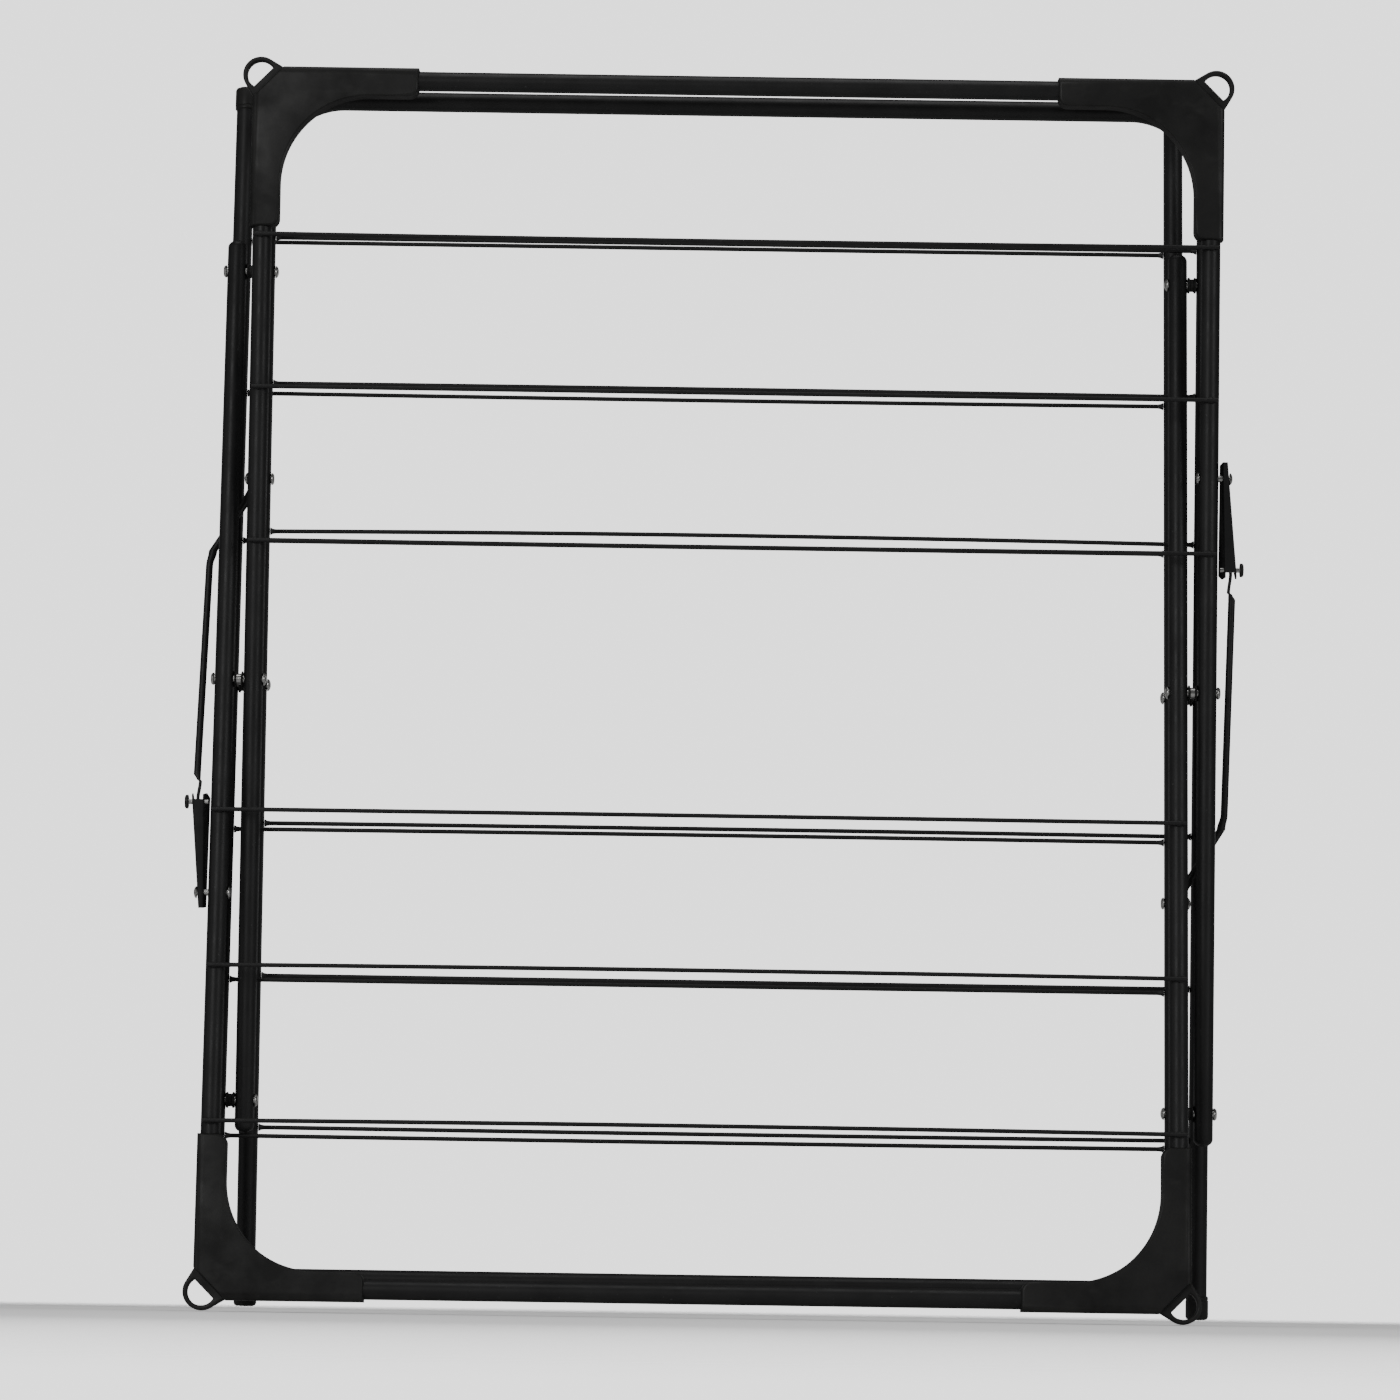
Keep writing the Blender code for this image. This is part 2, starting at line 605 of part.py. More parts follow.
def build():
    clear_scene()
    coat = material("black_powder_coat", (0.022, 0.022, 0.023), 0.38)
    plastic = material("black_plastic", (0.035, 0.036, 0.034), 0.52)
    steel = material("zinc_plated_steel", (0.72, 0.72, 0.70), 0.25, 1.0)
    for half, (front_name, rear_name, end_name, near, across) in enumerate(HALVES):
        turn = math.pi * half
        way = 1 - 2 * half
        hub = empty(f"crossing_axis_{near}", None, (0, FOLDED_DEPTH, CROSSING_Z), (0, turn, 0))
        rear = empty(rear_name + "_axis", None, (0, FOLDED_DEPTH, CROSSING_Z), (TILT, turn, 0))
        front_place = (0, 0, CROSSING_Z + way * PIVOT_RISE)
        front = empty(front_name + "_axis", None, front_place, (-TILT, turn, 0))
        front_frame(front_name, near, across, front, coat, plastic)
        rear_frame(rear_name, near, across, rear, coat, plastic)
        pivots(end_name, near, across, rear, front, hub, steel, plastic)
        stay(near, rear, front, coat, steel)


build()
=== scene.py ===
import json
import math

import bmesh
import bpy
from mathutils import Matrix, Vector

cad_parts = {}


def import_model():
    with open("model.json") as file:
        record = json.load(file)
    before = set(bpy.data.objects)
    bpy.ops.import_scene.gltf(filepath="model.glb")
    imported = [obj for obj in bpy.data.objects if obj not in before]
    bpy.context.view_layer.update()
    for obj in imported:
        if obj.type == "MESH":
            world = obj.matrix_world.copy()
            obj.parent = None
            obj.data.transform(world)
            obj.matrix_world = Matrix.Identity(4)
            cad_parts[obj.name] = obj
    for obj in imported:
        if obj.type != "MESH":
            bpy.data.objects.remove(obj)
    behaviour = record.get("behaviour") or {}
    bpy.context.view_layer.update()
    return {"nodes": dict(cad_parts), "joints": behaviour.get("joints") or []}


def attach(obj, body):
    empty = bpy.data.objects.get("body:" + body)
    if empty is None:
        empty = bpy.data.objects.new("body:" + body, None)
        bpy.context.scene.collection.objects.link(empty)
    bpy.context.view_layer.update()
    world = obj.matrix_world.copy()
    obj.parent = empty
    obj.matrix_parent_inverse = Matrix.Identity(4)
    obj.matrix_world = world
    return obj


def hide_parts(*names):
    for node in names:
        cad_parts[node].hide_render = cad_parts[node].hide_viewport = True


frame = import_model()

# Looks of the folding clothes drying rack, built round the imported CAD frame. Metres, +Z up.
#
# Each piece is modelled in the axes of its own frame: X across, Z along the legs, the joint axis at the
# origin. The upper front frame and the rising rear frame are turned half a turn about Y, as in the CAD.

JOINTS = {joint["name"]: Vector(joint["pos_m"]) for joint in frame["joints"]}
CROSSING = JOINTS["rack_open"]
TILT = math.atan2(CROSSING.y, JOINTS["front_lower_turn"].z - CROSSING.z)

# Smoothness
TUBE_SIDES = 40
WIRE_SIDES = 16
TURNED_SIDES = 40
BEND_STEPS = 28
ROUTE_STEPS = 12
ARCH_BAR_STEPS = 10
SMOOTH_ANGLE = 35  # edges flatter than this many degrees are shaded smooth

# Tubes and wires
TUBE_RADIUS = 0.0073
TIP_RISE = 0.0055  # height of the rounded closed tip of a leg
TIP_STEPS = 7
TIP_OPEN = 0.35  # of a step, left flat at the very tip
ARCH_RADIUS = 0.058
WIRE_STEPS = 24
WIRE_SOFT = 0.35  # a wire's end is rounded over this share of its radius
WIRE_END = 0.6  # and has this share of its radius left
BEAD_LENGTH = 0.0042
BEAD_PROUD = 0.0008
BEAD_INSET = 0.0055  # from the end of a front wire to the middle of its bead
BOWS = {  # how far the middle of each wire stands out of line, along its frame's own Z
    "front_lower": (0.0003, 0.0010, 0.0011),
    "front_upper": (0.0004, 0.0, 0.0008),
    "rear_standing": (0.0, 0.0004, 0.0019, 0.0005, 0.0, -0.0004),
    "rear_rising": (0.0003, 0.0, -0.0005, 0.0, 0.0006, 0.0),
}
COLLAR = ((-1.0, 0.0), (-0.8, 0.6), (0.0, 1.0), (0.8, 0.6), (1.0, 0.0))  # shares of half length and of rise
COLLAR_BACK = 0.6  # a collar's centre is this share of the wire's radius behind the wire's
COLLAR_SQUASH = 0.8
FLARE = ((0.0, 1.6), (0.0008, 1.2), (0.0018, 0.45), (BEAD_LENGTH, 0.0))  # way from the tube, share of rise

# Foot caps, as steps along the cap from an end and inwards from its skin
CAP_FOOT = ((0.0, 0.0022), (0.0007, 0.0007), (0.0022, 0.0))
CAP_RIM = (
    (0.0035, 0.0), (0.0030, 0.0004), (0.0024, 0.0001), (0.0008, 0.0002), (0.0002, 0.0007), (0.0, 0.0012),
)
CAP_MOUTH = ((0.004, 0.0014),)  # the floor of the hollow inside the rim
CAP_CORE = 0.0015  # radius left open on the axis

# Moulded corners, from the meeting point of the centre lines of leg and crossbar
CORNER_OUT = 0.0090
CORNER_IN = 0.0126
CORNER_ARM_X = 0.1155
CORNER_ARM_Z = 0.112
CORNER_FILLET = 0.066
CORNER_CUT = 0.0143
OUTER_ROUND = 0.0060  # radius of the long outer edges
ROUND_STEPS = 8
INNER_SHARE = 0.18  # the inner edges are rounded by this share of OUTER_ROUND
END_SHARE = 0.40  # and the arm ends by this one
CUT_SHARE = 0.25  # and the slanted edge above the eye by this one
ARM_END_ROUND = 0.007
ARM_END_STEPS = 8
EYE_ROOT = 0.0012
EYE_CENTRE = -0.0030
EYE_RADIUS = 0.0136
EYE_HOLE = 0.0102
EYE_FLAT = 0.0023
EYE_DEPTH = 0.009
EYE_SOFT = 0.0014
EYE_SOFT_STEPS = 3
EYE_RIM_STEPS = 40
EYE_HOLE_STEPS = 36
SAME_POINT = 0.00001
BORE_SLACK = 0.0003
BORE_OVER = 0.01  # a bore runs out of its arm by this much
TUBE_START = 0.0142
CORNER_SMOOTH = 32
NEAR = 0.0001  # slack when points of the outline are compared

# Pivots
PIVOT_HEAD_RISE = 0.0026
PIVOT_SHANK = 0.003
PIN_HEAD_RISE = 0.0022
PIN_SHANK = 0.0025
DOME_TURNS = (3, 15, 28, 42, 56, 70, 82)  # degrees from the axis to the edge of a rivet's head
HEAD_EDGE = 0.0002  # the head's side is this high
HEAD_SOFT = 0.0003
ROLLED_END = (  # shares of the head's rise and radius, and metres taken off the radius
    (0.0, 1.0, 0.0004), (0.15, 1.0, 0.0), (0.5, 1.0, 0.0003), (0.85, 0.75, 0.0),
    (0.93, 0.55, 0.0), (0.75, 0.40, 0.0), (0.25, 0.28, 0.0),
)
ROLLED_CORE = 0.0002
RIVET_SMOOTH = 50
SLEEVE_RADIUS = 0.0041
SLEEVE_SOFT = 0.0003
SLEEVE_PLAY = 0.0001
WASHER_RADIUS = 0.006
WASHER_THICK = 0.0012
WASHER_SOFT = 0.0005
WAIST = 0.0012  # a plastic spacer is this much thinner in the middle
WAIST_EDGE = 0.45  # the waist starts and is full at these shares of half the spacer
WAIST_FULL = 0.6

# Side stays, in the axes of the rod and of the channel
TONGUE_LENGTH = 0.077
TONGUE_HALF = 0.0011
TONGUE_WIDE = 0.0025
STAY_RADIUS = 0.0027
STAY_BACK = 0.0035
STAY_KNEE = 0.018
STAY_STRAIGHT = 0.062
STAY_SIDES = 24
STAY_SMOOTH = 40
EYE_TAB_HALF = 0.0012
EYE_TAB_WIDE = 0.0062
EYE_TAB_TURNS = (84, 70, 55, 38, 20, 0)  # degrees round the tab's top
EYE_TAB_TRIM = 0.0002
EYE_TAB_THIN = 0.9  # share of its half thickness that the tab has
EYE_TAB_FOOT = -0.0075
EYE_TAB_NARROW = 0.92
KNEE_OUT = 0.003  # at the upper bend the rod is this far out from the tab
KNEE_BACK = 0.6  # and this share of the way back
TAB_STEPS = 4
KNEE_STEPS = 8
BEND_START = 0.9  # the lower bend starts and ends at these shares of STAY_STRAIGHT
BEND_END = 1.08
BEND_IN = 0.0022  # its start is this far in from the straight run
LOWER_BEND_STEPS = 6
TONGUE_DROP = 0.014  # the mouth is this far below the tongue's top
MOUTH_STEPS = 8
TONGUE_STEPS = 10
ROUND = 2  # squareness of the sections: a plain ellipse
SOFT_SQUARE = 3
TIP_SQUARE = 4
TAB_SQUARE = 5
TONGUE_SQUARE = 6
RUN_TOP = -0.0155
RUN_END = -0.0188
TONGUE_TOP = -0.0163  # across from the front leg's centre line, at the tongue's top
TONGUE_MOUTH = -0.0177  # at the channel's mouth
TONGUE_TIP = -0.0122  # and at the tip
RUN_FOOT = 0.0058  # the round rod ends this far above the tongue
FLATTENING = ((0.0050, 1.0), (0.0030, 0.72), (0.0010, 0.50))  # height above the tongue, share of the rod
TIP_SOFT = 0.0004
TIP_NARROW = 0.45
CHANNEL_WALL = 0.0012
CHANNEL_BEND = 0.0014  # radius of the folds of the sheet
FOLD_STEPS = 5
CHANNEL_HALF = 0.005
CHANNEL_SPLAY = 0.28  # share of the width that the slanted inner wall takes
SPLAY_MIDDLE = 0.5  # share of the slant that is reached in the middle of that wall
CHANNEL_FOOT_WIDTH = 0.0052
CHANNEL_TOP_WIDTH = 0.0133
EAR_RISE = 0.0060  # the side walls end in points this far above the dip between them
EARS = ((0.08, 0.16), (0.92, 0.10))  # place of each point round the section, and how wide its foot is
CHANNEL_STEPS = 16
CHANNEL_SMOOTH = 45
FOOT_TRIM = 0.0022  # the side walls are cut off at the foot by this much
FOOT_TRIM_WIDE = 0.12
STOP_HEIGHT = 0.068
STOP_SET = -0.0016
STOP_SHANK = 0.0019
STOP_CORE = 0.0004
STOP_SOFT = 0.0004
STOP_PLAY = 0.0001
STOP_THICK = 0.0026
STOP_CROWN = ((0.0, 0.0010), (0.0006, 0.0002), (0.0012, 0.0))  # steps along the head and inwards

# Finishes: colour and roughness; then noises as noise_field takes them, the spans of them that show,
# tints that multiply the colour, and shifts of the roughness
COAT = ((0.025, 0.025, 0.0255), 0.44)
SHEET = ((0.013, 0.013, 0.0135), 0.62)
PLASTIC = ((0.024, 0.024, 0.0232), 0.46)
STEEL = ((0.85, 0.85, 0.83), 0.2)
COAT_PATCHES = (38.0, 4.0)
COAT_PATCH_TINTS = (0.8, 1.25)
COAT_SPECKS = (420.0, 2.0)
COAT_SPECK_SPAN = (0.70, 0.76)
COAT_SPECK_TINT = 3.0
COAT_GLOSS = (90.0, 3.0)
COAT_GLOSS_SHIFTS = (-0.05, 0.06)
COAT_PEEL = (900.0, 2.0)
COAT_PEEL_DEPTH = 0.00012
COAT_PEEL_STRENGTH = 0.35
NOISE_SPAN = (0.3, 0.7)
CLOUDS = (26.0, 4.0, 0.55)
CLOUD_SPAN = (0.34, 0.66)
CLOUD_TINTS = (0.40, 1.60)
CLOUD_GLOSS_SHIFTS = (0.12, -0.08)
SMUDGES = (60.0, 2.0, 0.5, (1.0, 1.0, 1.4))
SMUDGE_SPAN = (0.58, 0.80)
SMUDGE_SHARE = 0.7
SMUDGE_TINT = 1.9
GRAIN = (1400.0, 2.0)
GRAIN_DEPTH = 0.0001
GRAIN_STRENGTH = 0.4
WAVES = (160.0, 2.0)
WAVE_DEPTH = 0.0002
WAVE_STRENGTH = 0.15
BLOOM = (300.0, 4.0)
BLOOM_TINT = 0.8
BLOOM_GLOSS_SHIFT = 0.14
STEEL_GRAIN = (1200.0, 2.0)
STEEL_GRAIN_DEPTH = 0.00008
STEEL_GRAIN_STRENGTH = 0.3

# Stage and camera
FLOOR_RADIUS = 3.0
FLOOR_SOLID = 1.2  # the floor fades out beyond this radius
FLOOR_TONE = 0.85
FLOOR_SHOWN = 2.4  # tone of the floor that the camera sees
FLOOR_SIDES = 96
FLOOR_DROP = 0.0005
ROOM_LIGHT = 0.06
BACKDROP_LIGHT = 2.0
SOFTBOXES = (  # name, place, size, watts; all of them face the middle of the rack
    ("key", (-1.5, -3.1, 1.3), (1.1, 1.6), 16),
    ("second_key", (2.4, -2.4, 1.2), (0.9, 1.6), 11),
    ("fill", (-2.4, -0.8, 0.9), (0.8, 1.8), 1.5),
    ("back_left", (-1.7, 2.3, 0.9), (1.0, 2.2), 2.5),
    ("back_right", (1.7, 2.3, 0.9), (1.0, 2.2), 3.5),
    ("top", (0.0, -0.4, 3.0), (2.0, 1.6), 12),
)
LENS = 131.7  # millimetres, as SENSOR
SENSOR = 36.0
NEAR_CLIP = 0.05
LOOK_UP = 6.7  # degrees, as ROLL
ROLL = 0.85
CAMERA_DISTANCE = 3.83
AIM_X = -0.0115
AIM_RISE = -0.0085  # from the crossing

HALVES = (  # front frame, rear frame, pivot that they share, side of the stay, which way up
    ("front_lower", "rear_standing", "upper_pivot", "left", 1),
    ("front_upper", "rear_rising", "lower_pivot", "right", -1),
)


# Frames and nodes

def placed(point, way, tilt):
    """The axes of a frame: at a joint, turned about Y for the second half, and tilted."""
    turn = Matrix.Rotation(0 if way > 0 else math.pi, 4, "Y")
    return Matrix.Translation(point) @ turn @ Matrix.Rotation(tilt, 4, "X")


def extent(node, matrix):
    """Lowest and highest corner of a CAD node in the axes of matrix."""
    back = matrix.inverted()
    points = [back @ vert.co for vert in frame["nodes"][node].data.vertices]
    low = Vector([min(point[i] for point in points) for i in range(3)])
    high = Vector([max(point[i] for point in points) for i in range(3)])
    return low, high


# Mesh tools

def sections_mesh(name, rings, closed=False):
    """A skin over rings of points, with its ends filled unless it closes on itself."""
    mesh = bpy.data.meshes.new(name)
    shape = bmesh.new()
    loops = [[shape.verts.new(point) for point in ring] for ring in rings]
    count = len(loops[0])
    pairs = list(zip(loops, loops[1:]))
    if closed:
        pairs.append((loops[-1], loops[0]))
    for first, second in pairs:
        for i in range(count):
            j = (i + 1) % count
            shape.faces.new((first[i], first[j], second[j], second[i]))
    if not closed:
        shape.faces.new(list(reversed(loops[0])))
        shape.faces.new(loops[-1])
    bmesh.ops.recalc_face_normals(shape, faces=shape.faces)
    shape.to_mesh(mesh)
    shape.free()
    return mesh


def sweep(name, stations, sides):
    """A bar along stations of (point, half width across, half width along Y), lying along an XZ path."""
    points = [Vector(station[0]) for station in stations]
    last = len(points) - 1
    rings = []
    for i, (point, across, along) in enumerate(stations):
        before = points[max(i - 1, 0)]
        after = points[min(i + 1, last)]
        side = (after - before).cross(Vector((0, 1, 0))).normalized()
        ring = []
        for k in range(sides):
            turn = 2 * math.pi * k / sides
            c, s = math.cos(turn), math.sin(turn)
            ring.append(Vector(point) + side * across * c + Vector((0, along * s, 0)))
        rings.append(ring)
    return sections_mesh(name, rings)


def tip_dome(x, shoulder, radius):
    """Stations that close an upright round bar with a dome, from its edge upwards."""
    stations = []
    for i in range(1, TIP_STEPS + 1):
        turn = math.pi / 2 * i / (TIP_STEPS + TIP_OPEN)
        place = Vector((x, 0, shoulder + TIP_RISE * math.sin(turn)))
        stations.append((place, radius * math.cos(turn), radius * math.cos(turn)))
    return stations


def lathe(name, profile, axis="X", sides=TURNED_SIDES, closed=False):
    """A profile of (distance along the axis, radius) turned about it."""
    rings = []
    for along, radius in profile:
        ring = []
        for k in range(sides):
            turn = 2 * math.pi * k / sides
            a, b = radius * math.cos(turn), radius * math.sin(turn)
            ring.append(Vector((along, a, b)) if axis == "X" else Vector((a, b, along)))
        rings.append(ring)
    return sections_mesh(name, rings, closed)


def arc(centre, radius, start, end, steps):
    """Points round a centre from one angle to another, in degrees."""
    turns = [math.radians(start + (end - start) * i / steps) for i in range(steps + 1)]
    return [(centre[0] + radius * math.cos(t), centre[1] + radius * math.sin(t)) for t in turns]


def joined(name, meshes):
    """One mesh of several."""
    shape = bmesh.new()
    for mesh in meshes:
        shape.from_mesh(mesh)
        bpy.data.meshes.remove(mesh)
    made = bpy.data.meshes.new(name)
    shape.to_mesh(made)
    shape.free()
    return made


def piece(name, mesh, matrix, body, finish, nodes=(), angle=SMOOTH_ANGLE):
    """A finished mesh as a named piece on its body, standing for its CAD nodes."""
    mesh.shade_smooth()
    mesh.set_sharp_from_angle(angle=math.radians(angle))
    mesh.materials.append(finish)
    obj = bpy.data.objects.new(name, mesh)
    bpy.context.scene.collection.objects.link(obj)
    obj.matrix_world = matrix
    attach(obj, body)
    if nodes:
        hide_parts(*nodes)
    return obj


def outline_mesh(outlines, depth, soft):
    """Closed XZ outlines filled between them and thickened along Y, with rounded edges."""
    curve = bpy.data.curves.new("outline", "CURVE")
    curve.dimensions = "2D"
    curve.fill_mode = "BOTH"
    curve.extrude = depth / 2 - soft
    curve.bevel_depth = soft
    curve.bevel_resolution = EYE_SOFT_STEPS
    curve.offset = -soft
    for outline in outlines:
        spline = curve.splines.new("POLY")
        spline.points.add(len(outline) - 1)
        for point, (x, z) in zip(spline.points, outline):
            point.co = (x, z, 0, 1)
        spline.use_cyclic_u = True
    drawn = bpy.data.objects.new("outline", curve)
    drawn.rotation_euler = (math.radians(90), 0, 0)
    bpy.context.scene.collection.objects.link(drawn)
    mesh = evaluated(drawn)
    shape = bmesh.new()
    shape.from_mesh(mesh)
    bmesh.ops.remove_doubles(shape, verts=shape.verts, dist=SAME_POINT)
    bmesh.ops.recalc_face_normals(shape, faces=shape.faces)
    shape.to_mesh(mesh)
    shape.free()
    return mesh


def evaluated(obj):
    """The mesh of an object with its modifiers, in world axes. The object is removed."""
    bpy.context.view_layer.update()
    graph = bpy.context.evaluated_depsgraph_get()
    mesh = bpy.data.meshes.new_from_object(obj.evaluated_get(graph))
    mesh.transform(obj.matrix_world)
    bpy.data.objects.remove(obj)
    return mesh


def combined(base, additions, cuts):
    """base with meshes added to it and then cut out of it."""
    obj = bpy.data.objects.new("base", base)
    bpy.context.scene.collection.objects.link(obj)
    tools = []
    for operation, meshes in (("UNION", additions), ("DIFFERENCE", cuts)):
        for mesh in meshes:
            tool = bpy.data.objects.new("tool", mesh)
            bpy.context.scene.collection.objects.link(tool)
            modifier = obj.modifiers.new("tool", "BOOLEAN")
            modifier.operation = operation
            modifier.object = tool
            tools.append(tool)
    mesh = evaluated(obj)
    for tool in tools:
        bpy.data.objects.remove(tool)
    return mesh


# Materials

def tinted(colour, tint):
    return [c * tint for c in colour]


def shader_tree(name, roughness, metallic=0.0):
    made = bpy.data.materials.new(name)
    made.use_nodes = True
    tree = made.node_tree
    shader = tree.nodes["Principled BSDF"]
    shader.inputs["Roughness"].default_value = roughness
    shader.inputs["Metallic"].default_value = metallic
    place = tree.nodes.new("ShaderNodeTexCoord").outputs["Object"]
    return made, tree, shader, place


def noise_field(tree, place, scale, detail, rough=0.5, stretch=None):
    if stretch:
        mapping = tree.nodes.new("ShaderNodeMapping")
        mapping.inputs["Scale"].default_value = stretch
        tree.links.new(place, mapping.inputs["Vector"])
        place = mapping.outputs["Vector"]
    made = tree.nodes.new("ShaderNodeTexNoise")
    made.inputs["Scale"].default_value = scale
    made.inputs["Detail"].default_value = detail
    made.inputs["Roughness"].default_value = rough
    tree.links.new(place, made.inputs["Vector"])
    return made.outputs["Fac"]


def remap(tree, value, span, to_low=0.0, to_high=1.0):
    """The value, with the two ends of span moved to to_low and to_high."""
    made = tree.nodes.new("ShaderNodeMapRange")
    for name, number in zip(("From Min", "From Max", "To Min", "To Max"), (*span, to_low, to_high)):
        made.inputs[name].default_value = number
    tree.links.new(value, made.inputs["Value"])
    return made.outputs["Result"]


def blend(tree, factor, first, second):
    """A colour between two, either of them a colour or a socket."""
    made = tree.nodes.new("ShaderNodeMix")
    made.data_type = "RGBA"
    tree.links.new(factor, made.inputs["Factor"])
    for slot, colour in (("A", first), ("B", second)):
        socket = [s for s in made.inputs if s.name == slot and s.type == "RGBA"][0]
        if isinstance(colour, bpy.types.NodeSocket):
            tree.links.new(colour, socket)
        else:
            socket.default_value = (*colour, 1.0)
    return [s for s in made.outputs if s.type == "RGBA"][0]


def bump(tree, shader, height, distance, strength, previous=None):
    made = tree.nodes.new("ShaderNodeBump")
    made.inputs["Distance"].default_value = distance
    made.inputs["Strength"].default_value = strength
    tree.links.new(height, made.inputs["Height"])
    if previous:
        tree.links.new(previous, made.inputs["Normal"])
    tree.links.new(made.outputs["Normal"], shader.inputs["Normal"])
    return made.outputs["Normal"]


def powder_coat(name, colour, roughness):
    """Satin black powder coat: orange peel, faint patches, and small rubbed specks."""
    made, tree, shader, place = shader_tree(name, roughness)
    patches = remap(tree, noise_field(tree, place, *COAT_PATCHES), NOISE_SPAN)
    base = blend(tree, patches, *[tinted(colour, tint) for tint in COAT_PATCH_TINTS])
    specks = remap(tree, noise_field(tree, place, *COAT_SPECKS), COAT_SPECK_SPAN)
    base = blend(tree, specks, base, tinted(colour, COAT_SPECK_TINT))
    tree.links.new(base, shader.inputs["Base Color"])
    ends = [roughness + shift for shift in COAT_GLOSS_SHIFTS]
    gloss = remap(tree, noise_field(tree, place, *COAT_GLOSS), NOISE_SPAN, *ends)
    tree.links.new(gloss, shader.inputs["Roughness"])
    bump(tree, shader, noise_field(tree, place, *COAT_PEEL), COAT_PEEL_DEPTH, COAT_PEEL_STRENGTH)
    return made


def moulded_plastic(name, colour, roughness):
    """Matt moulded plastic: fine grain over shallow waves, soft clouds, and faint smudges."""
    made, tree, shader, place = shader_tree(name, roughness)
    clouds = remap(tree, noise_field(tree, place, *CLOUDS), CLOUD_SPAN)
    base = blend(tree, clouds, *[tinted(colour, tint) for tint in CLOUD_TINTS])
    smudges = remap(tree, noise_field(tree, place, *SMUDGES), SMUDGE_SPAN, 0.0, SMUDGE_SHARE)
    base = blend(tree, smudges, base, tinted(colour, SMUDGE_TINT))
    tree.links.new(base, shader.inputs["Base Color"])
    gloss = remap(tree, clouds, (0.0, 1.0), *[roughness + shift for shift in CLOUD_GLOSS_SHIFTS])
    tree.links.new(gloss, shader.inputs["Roughness"])
    grain = bump(tree, shader, noise_field(tree, place, *GRAIN), GRAIN_DEPTH, GRAIN_STRENGTH)
    bump(tree, shader, noise_field(tree, place, *WAVES), WAVE_DEPTH, WAVE_STRENGTH, grain)
    return made


def plated_steel(name, colour, roughness):
    """Bright zinc plate with a dull bloom and a fine grain."""
    made, tree, shader, place = shader_tree(name, roughness, 1.0)
    bloom = remap(tree, noise_field(tree, place, *BLOOM), NOISE_SPAN)
    base = blend(tree, bloom, tinted(colour, BLOOM_TINT), colour)
    tree.links.new(base, shader.inputs["Base Color"])
    gloss = remap(tree, bloom, (0.0, 1.0), roughness + BLOOM_GLOSS_SHIFT, roughness)
    tree.links.new(gloss, shader.inputs["Roughness"])
    grain = noise_field(tree, place, *STEEL_GRAIN)
    bump(tree, shader, grain, STEEL_GRAIN_DEPTH, STEEL_GRAIN_STRENGTH)
    return made


# Frames

def leg_stations(x, foot, tip, radius):
    """A straight round tube from its open end to its domed tip."""
    shoulder = tip - TIP_RISE
    heights = [foot + (shoulder - foot) * i / ROUTE_STEPS for i in range(ROUTE_STEPS + 1)]
    stations = [((x, 0, z), radius, radius) for z in heights]
    return stations + tip_dome(x, shoulder, radius)


def front_legs(name, matrix, coat):
    for side in ("left", "right"):
        node = f"{name}_leg_{side}"
        low, high = extent(node, matrix)
        radius = (high.x - low.x) / 2
        x = (low.x + high.x) / 2
        mesh = sweep(node, leg_stations(x, low.z, high.z, radius), TUBE_SIDES)
        piece(f"leg_{name}_{side}", mesh, matrix, name, coat, [node])


def front_bar(name, matrix, coat):
    node = name + "_crossbar"
    low, high = extent(node, matrix)
    radius = (high.z - low.z) / 2
    z = (low.z + high.z) / 2
    reach = high.x - low.x
    stations = [((low.x + reach * i / ROUTE_STEPS, 0, z), radius, radius) for i in range(ROUTE_STEPS + 1)]
    mesh = sweep(node, stations, TUBE_SIDES)
    piece("bar_" + name, mesh, matrix, name, coat, [node])


def wire_mesh(name, low, high, bow, beads):
    """A wire from low to high along X, bowed by a little, with a weld bead at each end."""
    radius = (high.z - low.z) / 2
    y = (low.y + high.y) / 2
    z = (low.z + high.z) / 2
    stations = []
    soft = radius * WIRE_SOFT
    for i in range(WIRE_STEPS + 1):
        t = i / WIRE_STEPS
        x = low.x + soft + (high.x - low.x - 2 * soft) * t
        stations.append(((x, y, z + bow * 4 * t * (1 - t)), radius, radius))
    end = radius * WIRE_END
    out = Vector((soft, 0, 0))
    first = (Vector(stations[0][0]) - out, end, end)
    last = (Vector(stations[-1][0]) + out, end, end)
    meshes = [sweep(name, [first] + stations + [last], WIRE_SIDES)]
    for x, kind in beads:
        meshes.append(bead(x, y, z, radius, kind))
    return joined(name, meshes)


def bead(x, y, z, radius, kind):
    """A weld: a collar round a wire that lies on a tube (kind 0), or a flare where a wire meets a tube's
    side (kind 1 or -1, the way it points)."""
    if kind == 0:
        profile = [(BEAD_LENGTH / 2 * along, radius + BEAD_PROUD * rise) for along, rise in COLLAR]
        squash = Matrix.Scale(COLLAR_SQUASH, 4, (0, 1, 0))
        place = Matrix.Translation((x, y + radius * COLLAR_BACK, z)) @ squash
    else:
        profile = [(along * kind, radius + BEAD_PROUD * rise) for along, rise in FLARE]
        place = Matrix.Translation((x, y, z))
    mesh = lathe("bead", profile, "X", WIRE_SIDES)
    mesh.transform(place)
    return mesh


def collars(low, high):
    """Beads of a front wire, which lies on the legs."""
    return (low.x + BEAD_INSET, 0), (high.x - BEAD_INSET, 0)


def flares(low, high):
    """Beads of a rear wire, which ends at the legs' sides."""
    return (low.x, 1), (high.x, -1)


def wires(name, matrix, count, coat, beads_at):
    for i in range(1, count + 1):
        node = f"{name}_wire_{i}"
        low, high = extent(node, matrix)
        bow = BOWS[name][i - 1]
        mesh = wire_mesh(node, low, high, bow, beads_at(low, high))
        piece(f"wire_{name}_{i}", mesh, matrix, name, coat, [node])


